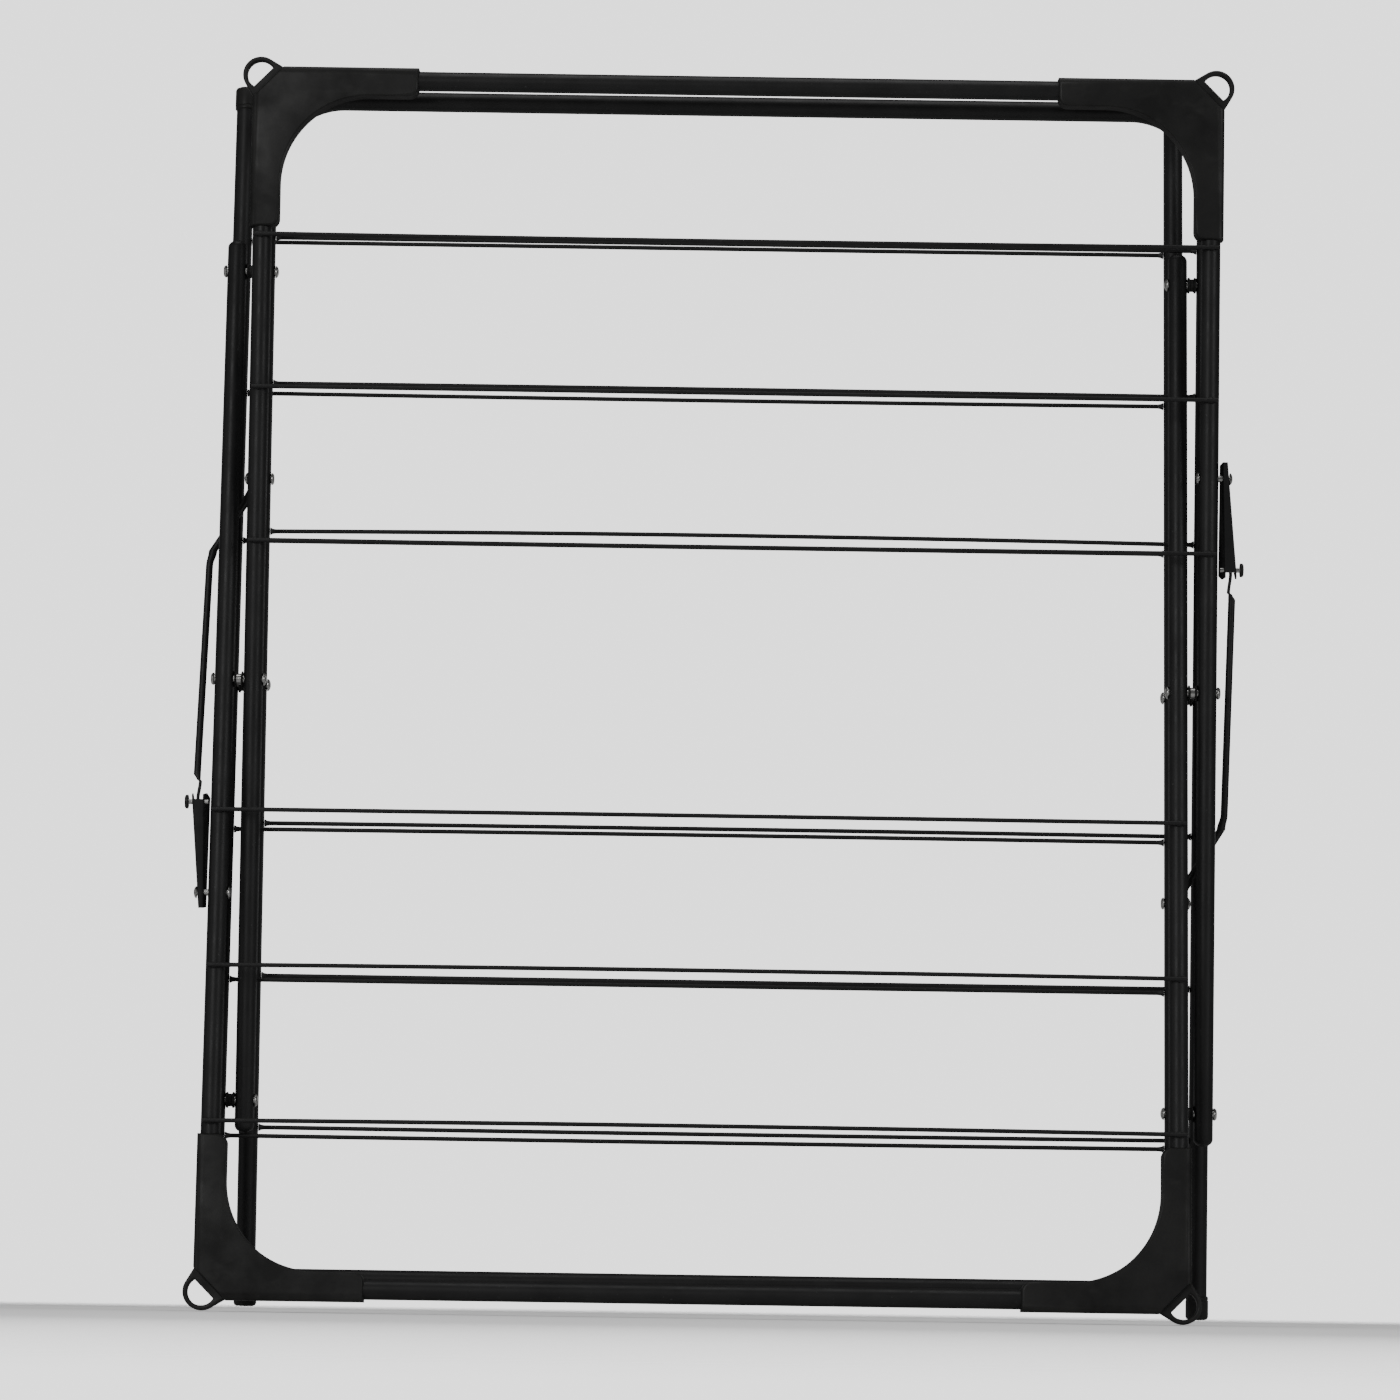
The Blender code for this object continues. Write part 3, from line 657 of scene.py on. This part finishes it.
def arch(name, matrix, coat):
    node = name + "_tube"
    low, high = extent(node, matrix)
    radius = (high.y - low.y) / 2
    left, right = low.x + radius, high.x - radius
    top = high.z - radius
    bend = ARCH_RADIUS
    spring = top - bend
    route = [(left, low.z + (spring - low.z) * i / ROUTE_STEPS) for i in range(ROUTE_STEPS)]
    route += arc((left + bend, spring), bend, 180, 90, BEND_STEPS)
    flat = right - left - 2 * bend
    route += [(left + bend + flat * i / ARCH_BAR_STEPS, top) for i in range(1, ARCH_BAR_STEPS)]
    route += arc((right - bend, spring), bend, 90, 0, BEND_STEPS)
    route += [(right, spring + (low.z - spring) * i / ROUTE_STEPS) for i in range(1, ROUTE_STEPS + 1)]
    mesh = sweep(node, [((x, 0, z), radius, radius) for x, z in route], TUBE_SIDES)
    piece("arch_" + name, mesh, matrix, name, coat, [node])


def caps(name, matrix, plastic):
    for side in ("left", "right"):
        node = f"{name}_cap_{side}"
        low, high = extent(node, matrix)
        radius = (high.x - low.x) / 2
        x = (low.x + high.x) / 2
        profile = [(low.z, CAP_CORE)]
        profile += [(low.z + up, radius - inwards) for up, inwards in CAP_FOOT]
        profile += [(high.z - down, radius - inwards) for down, inwards in CAP_RIM + CAP_MOUTH]
        profile.append((high.z - CAP_MOUTH[0][0], CAP_CORE))
        mesh = lathe(node, profile, "Z")
        mesh.transform(Matrix.Translation((x, 0, 0)))
        piece(f"cap_{name}_{side}", mesh, matrix, name, plastic, [node])


def corner_outline():
    """The corner's outline in XZ, from the slanted edge up the leg and round to the crossbar."""
    bend = CORNER_IN + CORNER_FILLET
    turn = ARM_END_ROUND
    outline = [(-CORNER_OUT, CORNER_CUT), (-CORNER_OUT, CORNER_ARM_Z)]
    outline += arc((CORNER_IN - turn, CORNER_ARM_Z - turn), turn, 90, 0, ARM_END_STEPS)
    outline += arc((bend, bend), CORNER_FILLET, 180, 270, BEND_STEPS)
    outline += arc((CORNER_ARM_X - turn, CORNER_IN - turn), turn, 90, 0, ARM_END_STEPS)
    outline += [(CORNER_ARM_X, -CORNER_OUT), (CORNER_CUT, -CORNER_OUT)]
    return outline


def edge_share(first, second):
    """How far the edge between two points of the corner's outline is rounded, as a share of OUTER_ROUND."""
    (x1, z1), (x2, z2) = first, second
    outer = -CORNER_OUT + NEAR
    cut = CORNER_CUT + NEAR
    end = ARM_END_ROUND + NEAR
    if (x1 < outer and x2 < outer) or (z1 < outer and z2 < outer):
        return 1.0
    if max(x1, x2) < cut and max(z1, z2) < cut:
        return CUT_SHARE
    if min(z1, z2) > CORNER_ARM_Z - end or min(x1, x2) > CORNER_ARM_X - end:
        return END_SHARE
    return INNER_SHARE


def corner_body(depth):
    """The corner's outline thickened along Y, with a bevel weight on each edge of its faces."""
    outline = corner_outline()
    count = len(outline)
    mesh = bpy.data.meshes.new("corner")
    points = [(x, -depth / 2, z) for x, z in outline] + [(x, depth / 2, z) for x, z in outline]
    faces = [list(range(count)), list(reversed(range(count, 2 * count)))]
    faces += [(i, i + count, (i + 1) % count + count, (i + 1) % count) for i in range(count)]
    mesh.from_pydata(points, [], faces)
    shape = bmesh.new()
    shape.from_mesh(mesh)
    bmesh.ops.recalc_face_normals(shape, faces=shape.faces)
    shape.to_mesh(mesh)
    shape.free()
    weights = mesh.attributes.new("bevel_weight_edge", "FLOAT", "EDGE")
    for edge in mesh.edges:
        first, second = edge.vertices
        if abs(first - second) != count:
            share = edge_share(outline[first % count], outline[second % count])
            weights.data[edge.index].value = share
    return mesh


def eye_outlines():
    """The round plate that widens to the slanted edge, and the hole in it, cut off by a flat on that side.
    Both are symmetric about the diagonal, at 45 degrees."""
    centre = (EYE_CENTRE, EYE_CENTRE)
    root = (EYE_ROOT - CORNER_OUT, EYE_ROOT + CORNER_CUT)
    across, up = root[0] - EYE_CENTRE, root[1] - EYE_CENTRE
    touch = math.degrees(math.atan2(up, across) + math.acos(EYE_RADIUS / math.hypot(across, up)))
    rim = [root] + arc(centre, EYE_RADIUS, touch, 450 - touch, EYE_RIM_STEPS) + [(root[1], root[0])]
    depth = (-EYE_FLAT - 2 * EYE_CENTRE) / math.sqrt(2)
    open_angle = math.degrees(math.acos(depth / EYE_HOLE))
    hole = arc(centre, EYE_HOLE, 45 + open_angle, 405 - open_angle, EYE_HOLE_STEPS)
    return [rim, hole]


def rounded(mesh):
    """The mesh with its weighted edges bevelled."""
    obj = bpy.data.objects.new("rounded", mesh)
    bpy.context.scene.collection.objects.link(obj)
    bevel = obj.modifiers.new("bevel", "BEVEL")
    bevel.limit_method = "WEIGHT"
    bevel.width = OUTER_ROUND
    bevel.segments = ROUND_STEPS
    bevel.use_clamp_overlap = False
    return evaluated(obj)


def corner(name, side, x, z, inward, depth, matrix, plastic):
    """A moulded corner with its eye, bored for the crossbar and the leg. inward is 1 or -1, the way of the
    crossbar along X."""
    bore = TUBE_RADIUS + BORE_SLACK
    bar = [((TUBE_START, 0, 0), bore, bore), ((CORNER_ARM_X + BORE_OVER, 0, 0), bore, bore)]
    leg = [((0, 0, TUBE_START), bore, bore), ((0, 0, CORNER_ARM_Z + BORE_OVER), bore, bore)]
    cuts = [sweep("bore", stations, TUBE_SIDES) for stations in (bar, leg)]
    body = rounded(corner_body(depth))
    eye = outline_mesh(eye_outlines(), EYE_DEPTH, EYE_SOFT)
    mesh = combined(body, [eye], cuts)
    mesh.transform(Matrix.Translation((x, 0, z)) @ Matrix.Scale(inward, 4, (1, 0, 0)))
    if inward < 0:
        mesh.flip_normals()
    node = f"{name}_corner_{side}"
    piece(f"corner_{name}_{side}", mesh, matrix, name, plastic, [node], CORNER_SMOOTH)


def corners(name, matrix, plastic):
    bar_low, bar_high = extent(name + "_crossbar", matrix)
    z = (bar_low.z + bar_high.z) / 2
    for side in ("left", "right"):
        leg_low, leg_high = extent(f"{name}_leg_{side}", matrix)
        x = (leg_low.x + leg_high.x) / 2
        low, high = extent(f"{name}_corner_{side}", matrix)
        inward = 1 if x < (bar_low.x + bar_high.x) / 2 else -1
        corner(name, side, x, z, inward, high.y - low.y, matrix, plastic)


# Pivots

def rivet_profile(half, head, rise, shank):
    """From the domed head, along the shank, to the rolled rim with its hollow."""
    turns = [math.radians(turn) for turn in DOME_TURNS]
    profile = [(half + rise * math.cos(turn), head * math.sin(turn)) for turn in turns]
    profile += [(half + HEAD_EDGE, head), (half, head - HEAD_SOFT), (half, shank), (-half, shank)]
    profile += [(-half - rise * up, head * across - less) for up, across, less in ROLLED_END]
    profile.append((-half - rise * ROLLED_END[-1][0], ROLLED_CORE))
    return profile


def rivet(node, body, matrix, steel, facing, rise=PIVOT_HEAD_RISE, shank=PIVOT_SHANK):
    """A rivet along X over the span of its CAD node, with its domed head towards +X or -X."""
    low, high = extent(node, matrix)
    half = (high.x - low.x) / 2 - rise
    centre = Vector(((low.x + high.x) / 2, (low.y + high.y) / 2, (low.z + high.z) / 2))
    mesh = lathe(node, rivet_profile(half, (high.z - low.z) / 2, rise, shank))
    if facing < 0:
        mesh.transform(Matrix.Rotation(math.pi, 4, "Z"))
    mesh.transform(Matrix.Translation(centre))
    piece("fixing_" + node, mesh, matrix, body, steel, [node], RIVET_SMOOTH)


def spacer(node, body, matrix, steel, plastic, bright):
    """A steel sleeve between two black washers, or a plastic spacer with a waist."""
    low, high = extent(node, matrix)
    half = (high.x - low.x) / 2
    centre = Vector(((low.x + high.x) / 2, (low.y + high.y) / 2, (low.z + high.z) / 2))
    hole = PIVOT_SHANK + BORE_SLACK
    outer = WASHER_RADIUS
    soft = WASHER_SOFT
    if bright:
        inner = half - WASHER_THICK - SLEEVE_PLAY
        shoulder = SLEEVE_RADIUS - SLEEVE_SOFT
        sleeve = [(-inner, hole), (-inner, shoulder), (-inner + SLEEVE_SOFT, SLEEVE_RADIUS)]
        sleeve += [(inner - SLEEVE_SOFT, SLEEVE_RADIUS), (inner, shoulder), (inner, hole)]
        mesh = lathe(node + "_sleeve", sleeve, closed=True)
        mesh.transform(Matrix.Translation(centre))
        piece("sleeve_" + node, mesh, matrix, body, steel)
        ends = [(-half, -half + WASHER_THICK), (half - WASHER_THICK, half)]
    else:
        ends = [(-half, half)]
    meshes = []
    for start, end in ends:
        profile = [(start, hole), (start, outer - soft), (start + soft, outer), (end - soft, outer)]
        profile += [(end, outer - soft), (end, hole)]
        if not bright:
            waist = outer - WAIST
            profile[3:3] = [(start + half * WAIST_EDGE, outer), (start + half * WAIST_FULL, waist)]
            profile[5:5] = [(end - half * WAIST_FULL, waist), (end - half * WAIST_EDGE, outer)]
        meshes.append(lathe(node, profile, closed=True))
    mesh = joined(node, meshes)
    mesh.transform(Matrix.Translation(centre))
    piece("washer_" + node, mesh, matrix, body, plastic, [node])


def pivot(end_name, side, body, matrix, steel, plastic):
    """A rivet with its domed head towards the middle of the rack, and the spacer round it."""
    rivet_node = f"{end_name}_rivet_{side}"
    low, high = extent(rivet_node, matrix)
    inward = 1 if low.x + high.x < 0 else -1
    rivet(rivet_node, body, matrix, steel, inward)
    bright = end_name == "front_crossing"
    spacer(f"{end_name}_spacer_{side}", body, matrix, steel, plastic, bright)


# Side stays

def loft(name, stations):
    """A bar through stations of (x, y, z, half width along X, half width along Y, squareness)."""
    rings = []
    for x, y, z, wide_x, wide_y, power in stations:
        ring = []
        for k in range(STAY_SIDES):
            turn = 2 * math.pi * k / STAY_SIDES
            c, s = math.cos(turn), math.sin(turn)
            c = math.copysign(abs(c) ** (2 / power), c)
            s = math.copysign(abs(s) ** (2 / power), s)
            ring.append(Vector((x + wide_x * c, y + wide_y * s, z)))
        rings.append(ring)
    return sections_mesh(name, rings)


def between(first, second, steps):
    """Stations that run smoothly from one station to another, without the first."""
    made = []
    for i in range(1, steps + 1):
        t = i / steps
        ease = t * t * (3 - 2 * t)
        shares = (ease, ease, t, ease, ease, ease)
        made.append(tuple(a + (b - a) * share for a, b, share in zip(first, second, shares)))
    return made


def stay_rod(near, leg, matrix, coat):
    """A round rod from a flat eye, out past the front leg and down beside it, to a thin tongue."""
    node = f"stay_rod_{near}"
    low, high = extent(node, matrix)
    eye_x = high.x - EYE_TAB_HALF
    run_x, end_x = leg + RUN_TOP, leg + RUN_END
    tip = low.z
    tongue = tip + TONGUE_LENGTH
    lean = math.atan2(eye_x - run_x, STAY_STRAIGHT - STAY_KNEE)
    slant = STAY_RADIUS / math.cos(lean)
    thin = EYE_TAB_HALF * EYE_TAB_THIN
    stations = []
    for turn in [math.radians(a) for a in EYE_TAB_TURNS]:
        z = high.z - EYE_TAB_TRIM + EYE_TAB_WIDE * (math.sin(turn) - 1)
        stations.append((eye_x, 0, z, thin, EYE_TAB_WIDE * math.cos(turn), TAB_SQUARE))
    tab_foot = (eye_x, 0, EYE_TAB_FOOT, thin, EYE_TAB_WIDE * EYE_TAB_NARROW, TAB_SQUARE)
    stations += between(stations[-1], tab_foot, TAB_STEPS)
    knee = (eye_x - KNEE_OUT, STAY_BACK * KNEE_BACK, -STAY_KNEE, slant, STAY_RADIUS, ROUND)
    stations += between(tab_foot, knee, KNEE_STEPS)
    bend = (run_x + BEND_IN, STAY_BACK, -STAY_STRAIGHT * BEND_START, slant, STAY_RADIUS, ROUND)
    stations.append(bend)
    run = (run_x, STAY_BACK, -STAY_STRAIGHT * BEND_END, STAY_RADIUS, STAY_RADIUS, ROUND)
    stations += between(bend, run, LOWER_BEND_STEPS)
    stations.append((end_x, STAY_BACK, tongue + RUN_FOOT, STAY_RADIUS, STAY_RADIUS, ROUND))
    top = leg + TONGUE_TOP
    for rise, share in FLATTENING:
        half = STAY_RADIUS * share
        x = top + (end_x - top) * share
        stations.append((x, STAY_BACK, tongue + rise, half, TONGUE_WIDE, SOFT_SQUARE))
    stations.append((top, STAY_BACK, tongue, TONGUE_HALF, TONGUE_WIDE, TONGUE_SQUARE))
    mouth = (leg + TONGUE_MOUTH, STAY_BACK, tongue - TONGUE_DROP, TONGUE_HALF, TONGUE_WIDE, TONGUE_SQUARE)
    stations += between(stations[-1], mouth, MOUTH_STEPS)
    end = (leg + TONGUE_TIP, STAY_BACK, tip + TONGUE_WIDE, TONGUE_HALF, TONGUE_WIDE, TONGUE_SQUARE)
    stations += between(mouth, end, TONGUE_STEPS)
    narrow = TONGUE_WIDE * TIP_NARROW
    stations.append((leg + TONGUE_TIP, STAY_BACK, tip + TIP_SOFT, TONGUE_HALF, narrow, TIP_SQUARE))
    piece(node + "_shape", loft(node, stations), matrix, node, coat, [node], STAY_SMOOTH)


def fold(foot, top, z, inner_x):
    """The channel's section at a height: the outer line of the folded sheet, from the back of the inner wall
    round the web to the back of the outer wall, and the inner line beside it. foot and top are (z, width)."""
    wall = CHANNEL_WALL
    width = foot[1] + (top[1] - foot[1]) * (z - foot[0]) / (top[0] - foot[0])
    half = CHANNEL_HALF
    bend = CHANNEL_BEND
    splay = width * CHANNEL_SPLAY
    left, right = inner_x - width, inner_x - splay
    line = [(inner_x, half), (inner_x - splay * SPLAY_MIDDLE, 0.0)]
    line += arc((right - bend, -half + bend), bend, 0, -90, FOLD_STEPS)
    line += arc((left + bend, -half + bend), bend, -90, -180, FOLD_STEPS)
    line += [(left, 0.0), (left, half)]
    inside = [(inner_x - wall, half), (inner_x - splay * SPLAY_MIDDLE - wall, 0.0)]
    inside += arc((right - bend, -half + bend), bend - wall, 0, -90, FOLD_STEPS)
    inside += arc((left + bend, -half + bend), bend - wall, -90, -180, FOLD_STEPS)
    inside += [(left + wall, 0.0), (left + wall, half)]
    return line, inside


def channel_mesh(name, low, high):
    """A folded sheet, tapering to its foot, with a dip between two pointed ears at its mouth."""
    steps = CHANNEL_STEPS
    foot, top = (low.z, CHANNEL_FOOT_WIDTH), (high.z, CHANNEL_TOP_WIDTH)
    count = len(fold(foot, top, low.z, high.x)[0])
    shape = bmesh.new()
    outer, inner = [], []
    for j in range(count):
        u = j / (count - 1)
        ear = max(0.0, *[1 - abs(u - place) / width for place, width in EARS])
        end = high.z - EAR_RISE * (1 - ear)
        trim = FOOT_TRIM * max(0.0, 1 - min(u, 1 - u) / FOOT_TRIM_WIDE)
        start = low.z + trim
        columns = ([], [])
        for i in range(steps + 1):
            z = start + (end - start) * i / steps
            lines = fold(foot, top, z, high.x)
            for column, line in zip(columns, lines):
                column.append(shape.verts.new((line[j][0], line[j][1], z)))
        outer.append(columns[0])
        inner.append(columns[1])
    for j in range(count - 1):
        for i in range(steps):
            shape.faces.new((outer[j][i], outer[j + 1][i], outer[j + 1][i + 1], outer[j][i + 1]))
            shape.faces.new((inner[j][i], inner[j][i + 1], inner[j + 1][i + 1], inner[j + 1][i]))
        for i in (0, steps):
            shape.faces.new((outer[j][i], inner[j][i], inner[j + 1][i], outer[j + 1][i]))
    for j in (0, count - 1):
        for i in range(steps):
            shape.faces.new((outer[j][i], outer[j][i + 1], inner[j][i + 1], inner[j][i]))
    bmesh.ops.recalc_face_normals(shape, faces=shape.faces)
    mesh = bpy.data.meshes.new(name)
    shape.to_mesh(mesh)
    shape.free()
    return mesh


def stay_channel(near, matrix, sheet, plastic, steel):
    """The folded channel that holds the tongue, with its stop pin: a crowned black head on a steel shank."""
    node = f"stay_channel_{near}"
    low, high = extent(node, matrix)
    mesh = channel_mesh(node, low, high)
    piece(node + "_sheet", mesh, matrix, node, sheet, [node], CHANNEL_SMOOTH)
    pin = f"stay_stop_pin_{near}"
    start, end = extent(pin, matrix)
    head = (end.z - start.z) / 2
    under = start.x + STOP_THICK
    profile = [(start.x, STOP_CORE)]
    profile += [(start.x + along, head - inwards) for along, inwards in STOP_CROWN]
    profile += [(under - STOP_SOFT, head), (under, head - STOP_SOFT), (under, STOP_CORE)]
    mesh = lathe(pin, profile)
    place = Matrix.Translation((0, STOP_SET, STOP_HEIGHT))
    mesh.transform(place)
    piece(pin + "_head", mesh, matrix, node, plastic, [pin], STAY_SMOOTH)
    shank = [(under + STOP_PLAY, STOP_CORE), (under + STOP_PLAY, STOP_SHANK), (end.x - STOP_SOFT, STOP_SHANK)]
    shank += [(end.x, STOP_SHANK - STOP_SOFT), (end.x, STOP_CORE)]
    mesh = lathe(pin + "_shank", shank)
    mesh.transform(place)
    piece(pin + "_shank", mesh, matrix, node, steel, (), STAY_SMOOTH)


def stay_axes(near, way, kind):
    """The axes of a stay's rod or channel: at its joint, leaning as it does in the folded rack."""
    rod = JOINTS[f"stay_rod_{near}_turn"]
    channel = JOINTS[f"stay_channel_{near}_turn"]
    run = rod - channel
    lean = -math.atan2(run.y, abs(run.z))
    return placed(rod if kind == "rod" else channel, way, lean)


def stays(coat, sheet, plastic, steel):
    for front, rear, _, near, way in HALVES:
        front_axes = placed(JOINTS[front + "_turn"], way, -TILT)
        rear_axes = placed(CROSSING, way, TILT)
        low, high = extent(f"{front}_leg_{near}", front_axes)
        stay_rod(near, (low.x + high.x) / 2, stay_axes(near, way, "rod"), coat)
        stay_channel(near, stay_axes(near, way, "channel"), sheet, plastic, steel)
        rivet(f"stay_rod_rivet_{near}", rear, rear_axes, steel, -1, PIN_HEAD_RISE, PIN_SHANK)
        rivet(f"stay_channel_rivet_{near}", front, front_axes, steel, -1, PIN_HEAD_RISE, PIN_SHANK)


# Stage

def white_floor():
    """A matt floor that the camera sees brighter than the lamps make it, and that fades out far away."""
    made = bpy.data.materials.new("white_floor")
    made.use_nodes = True
    tree = made.node_tree
    tree.nodes.clear()
    matt = tree.nodes.new("ShaderNodeBsdfDiffuse")
    shown = tree.nodes.new("ShaderNodeBsdfDiffuse")
    clear = tree.nodes.new("ShaderNodeBsdfTransparent")
    matt.inputs["Color"].default_value = (FLOOR_TONE, FLOOR_TONE, FLOOR_TONE, 1)
    shown.inputs["Color"].default_value = (FLOOR_SHOWN, FLOOR_SHOWN, FLOOR_SHOWN, 1)
    path = tree.nodes.new("ShaderNodeLightPath")
    seen = tree.nodes.new("ShaderNodeMixShader")
    tree.links.new(path.outputs["Is Camera Ray"], seen.inputs["Fac"])
    tree.links.new(matt.outputs["BSDF"], seen.inputs[1])
    tree.links.new(shown.outputs["BSDF"], seen.inputs[2])
    place = tree.nodes.new("ShaderNodeTexCoord").outputs["Object"]
    length = tree.nodes.new("ShaderNodeVectorMath")
    length.operation = "LENGTH"
    tree.links.new(place, length.inputs[0])
    fade = remap(tree, length.outputs["Value"], (FLOOR_SOLID, FLOOR_RADIUS))
    mix = tree.nodes.new("ShaderNodeMixShader")
    out = tree.nodes.new("ShaderNodeOutputMaterial")
    tree.links.new(fade, mix.inputs["Fac"])
    tree.links.new(seen.outputs["Shader"], mix.inputs[1])
    tree.links.new(clear.outputs["BSDF"], mix.inputs[2])
    tree.links.new(mix.outputs["Shader"], out.inputs["Surface"])
    return made


def stage():
    """The floor: a round disc just below the rack's feet."""
    mesh = bpy.data.meshes.new("floor")
    shape = bmesh.new()
    bmesh.ops.create_circle(shape, cap_ends=True, segments=FLOOR_SIDES, radius=FLOOR_RADIUS)
    shape.to_mesh(mesh)
    shape.free()
    mesh.materials.append(white_floor())
    floor = bpy.data.objects.new("floor", mesh)
    floor.location = (0, 0, -FLOOR_DROP)
    bpy.context.scene.collection.objects.link(floor)


def softbox(name, place, aim, size, watts):
    """A rectangular lamp that the camera does not see."""
    data = bpy.data.lights.new(name, "AREA")
    data.shape = "RECTANGLE"
    data.size, data.size_y = size
    data.energy = watts
    lamp = bpy.data.objects.new(name, data)
    lamp.location = place
    lamp.rotation_euler = (Vector(aim) - Vector(place)).to_track_quat("-Z", "Y").to_euler()
    lamp.visible_camera = False
    bpy.context.scene.collection.objects.link(lamp)


def lights():
    centre = (0, 0, CROSSING.z)
    for name, place, size, watts in SOFTBOXES:
        softbox(name, place, centre, size, watts)


def world():
    """A bright even backdrop for the camera, and a dim room for everything else."""
    made = bpy.data.worlds.new("studio")
    made.use_nodes = True
    tree = made.node_tree
    tree.nodes.clear()
    room, seen = [tree.nodes.new("ShaderNodeBackground") for _ in range(2)]
    room.inputs["Strength"].default_value = ROOM_LIGHT
    seen.inputs["Strength"].default_value = BACKDROP_LIGHT
    for light in (room, seen):
        light.inputs["Color"].default_value = (1, 1, 1, 1)
    path = tree.nodes.new("ShaderNodeLightPath")
    mix = tree.nodes.new("ShaderNodeMixShader")
    out = tree.nodes.new("ShaderNodeOutputWorld")
    tree.links.new(path.outputs["Is Camera Ray"], mix.inputs["Fac"])
    tree.links.new(room.outputs["Background"], mix.inputs[1])
    tree.links.new(seen.outputs["Background"], mix.inputs[2])
    tree.links.new(mix.outputs["Shader"], out.inputs["Surface"])
    bpy.context.scene.world = made


def camera():
    data = bpy.data.cameras.new("camera")
    data.lens = LENS
    data.sensor_width = SENSOR
    data.clip_start = NEAR_CLIP
    look_up = math.radians(LOOK_UP)
    heading = Vector((0, math.cos(look_up), math.sin(look_up)))
    aim = Vector((AIM_X, 0, CROSSING.z + AIM_RISE))
    turn = heading.to_track_quat("-Z", "Y").to_matrix().to_4x4()
    obj = bpy.data.objects.new("camera", data)
    roll = Matrix.Rotation(math.radians(ROLL), 4, "Z")
    obj.matrix_world = Matrix.Translation(aim - heading * CAMERA_DISTANCE) @ turn @ roll
    bpy.context.scene.collection.objects.link(obj)
    bpy.context.scene.camera = obj


def build():
    coat = powder_coat("black_powder_coat_look", *COAT)
    sheet = powder_coat("black_sheet_coat_look", *SHEET)
    plastic = moulded_plastic("black_plastic_look", *PLASTIC)
    steel = plated_steel("zinc_plated_steel_look", *STEEL)
    for front, rear, end_name, near, way in HALVES:
        front_axes = placed(JOINTS[front + "_turn"], way, -TILT)
        rear_axes = placed(CROSSING, way, TILT)
        front_legs(front, front_axes, coat)
        front_bar(front, front_axes, coat)
        corners(front, front_axes, plastic)
        wires(front, front_axes, 3, coat, collars)
        arch(rear, rear_axes, coat)
        caps(rear, rear_axes, plastic)
        wires(rear, rear_axes, 6, coat, flares)
        pivot(end_name, "left", rear, rear_axes, steel, plastic)
        pivot(end_name, "right", rear, rear_axes, steel, plastic)
        pivot("front_crossing", near, front, front_axes, steel, plastic)
        pivot("rear_crossing", near, "rear_crossing", placed(CROSSING, way, 0), steel, plastic)
    stays(coat, sheet, plastic, steel)


camera()
build()
stage()
lights()
world()
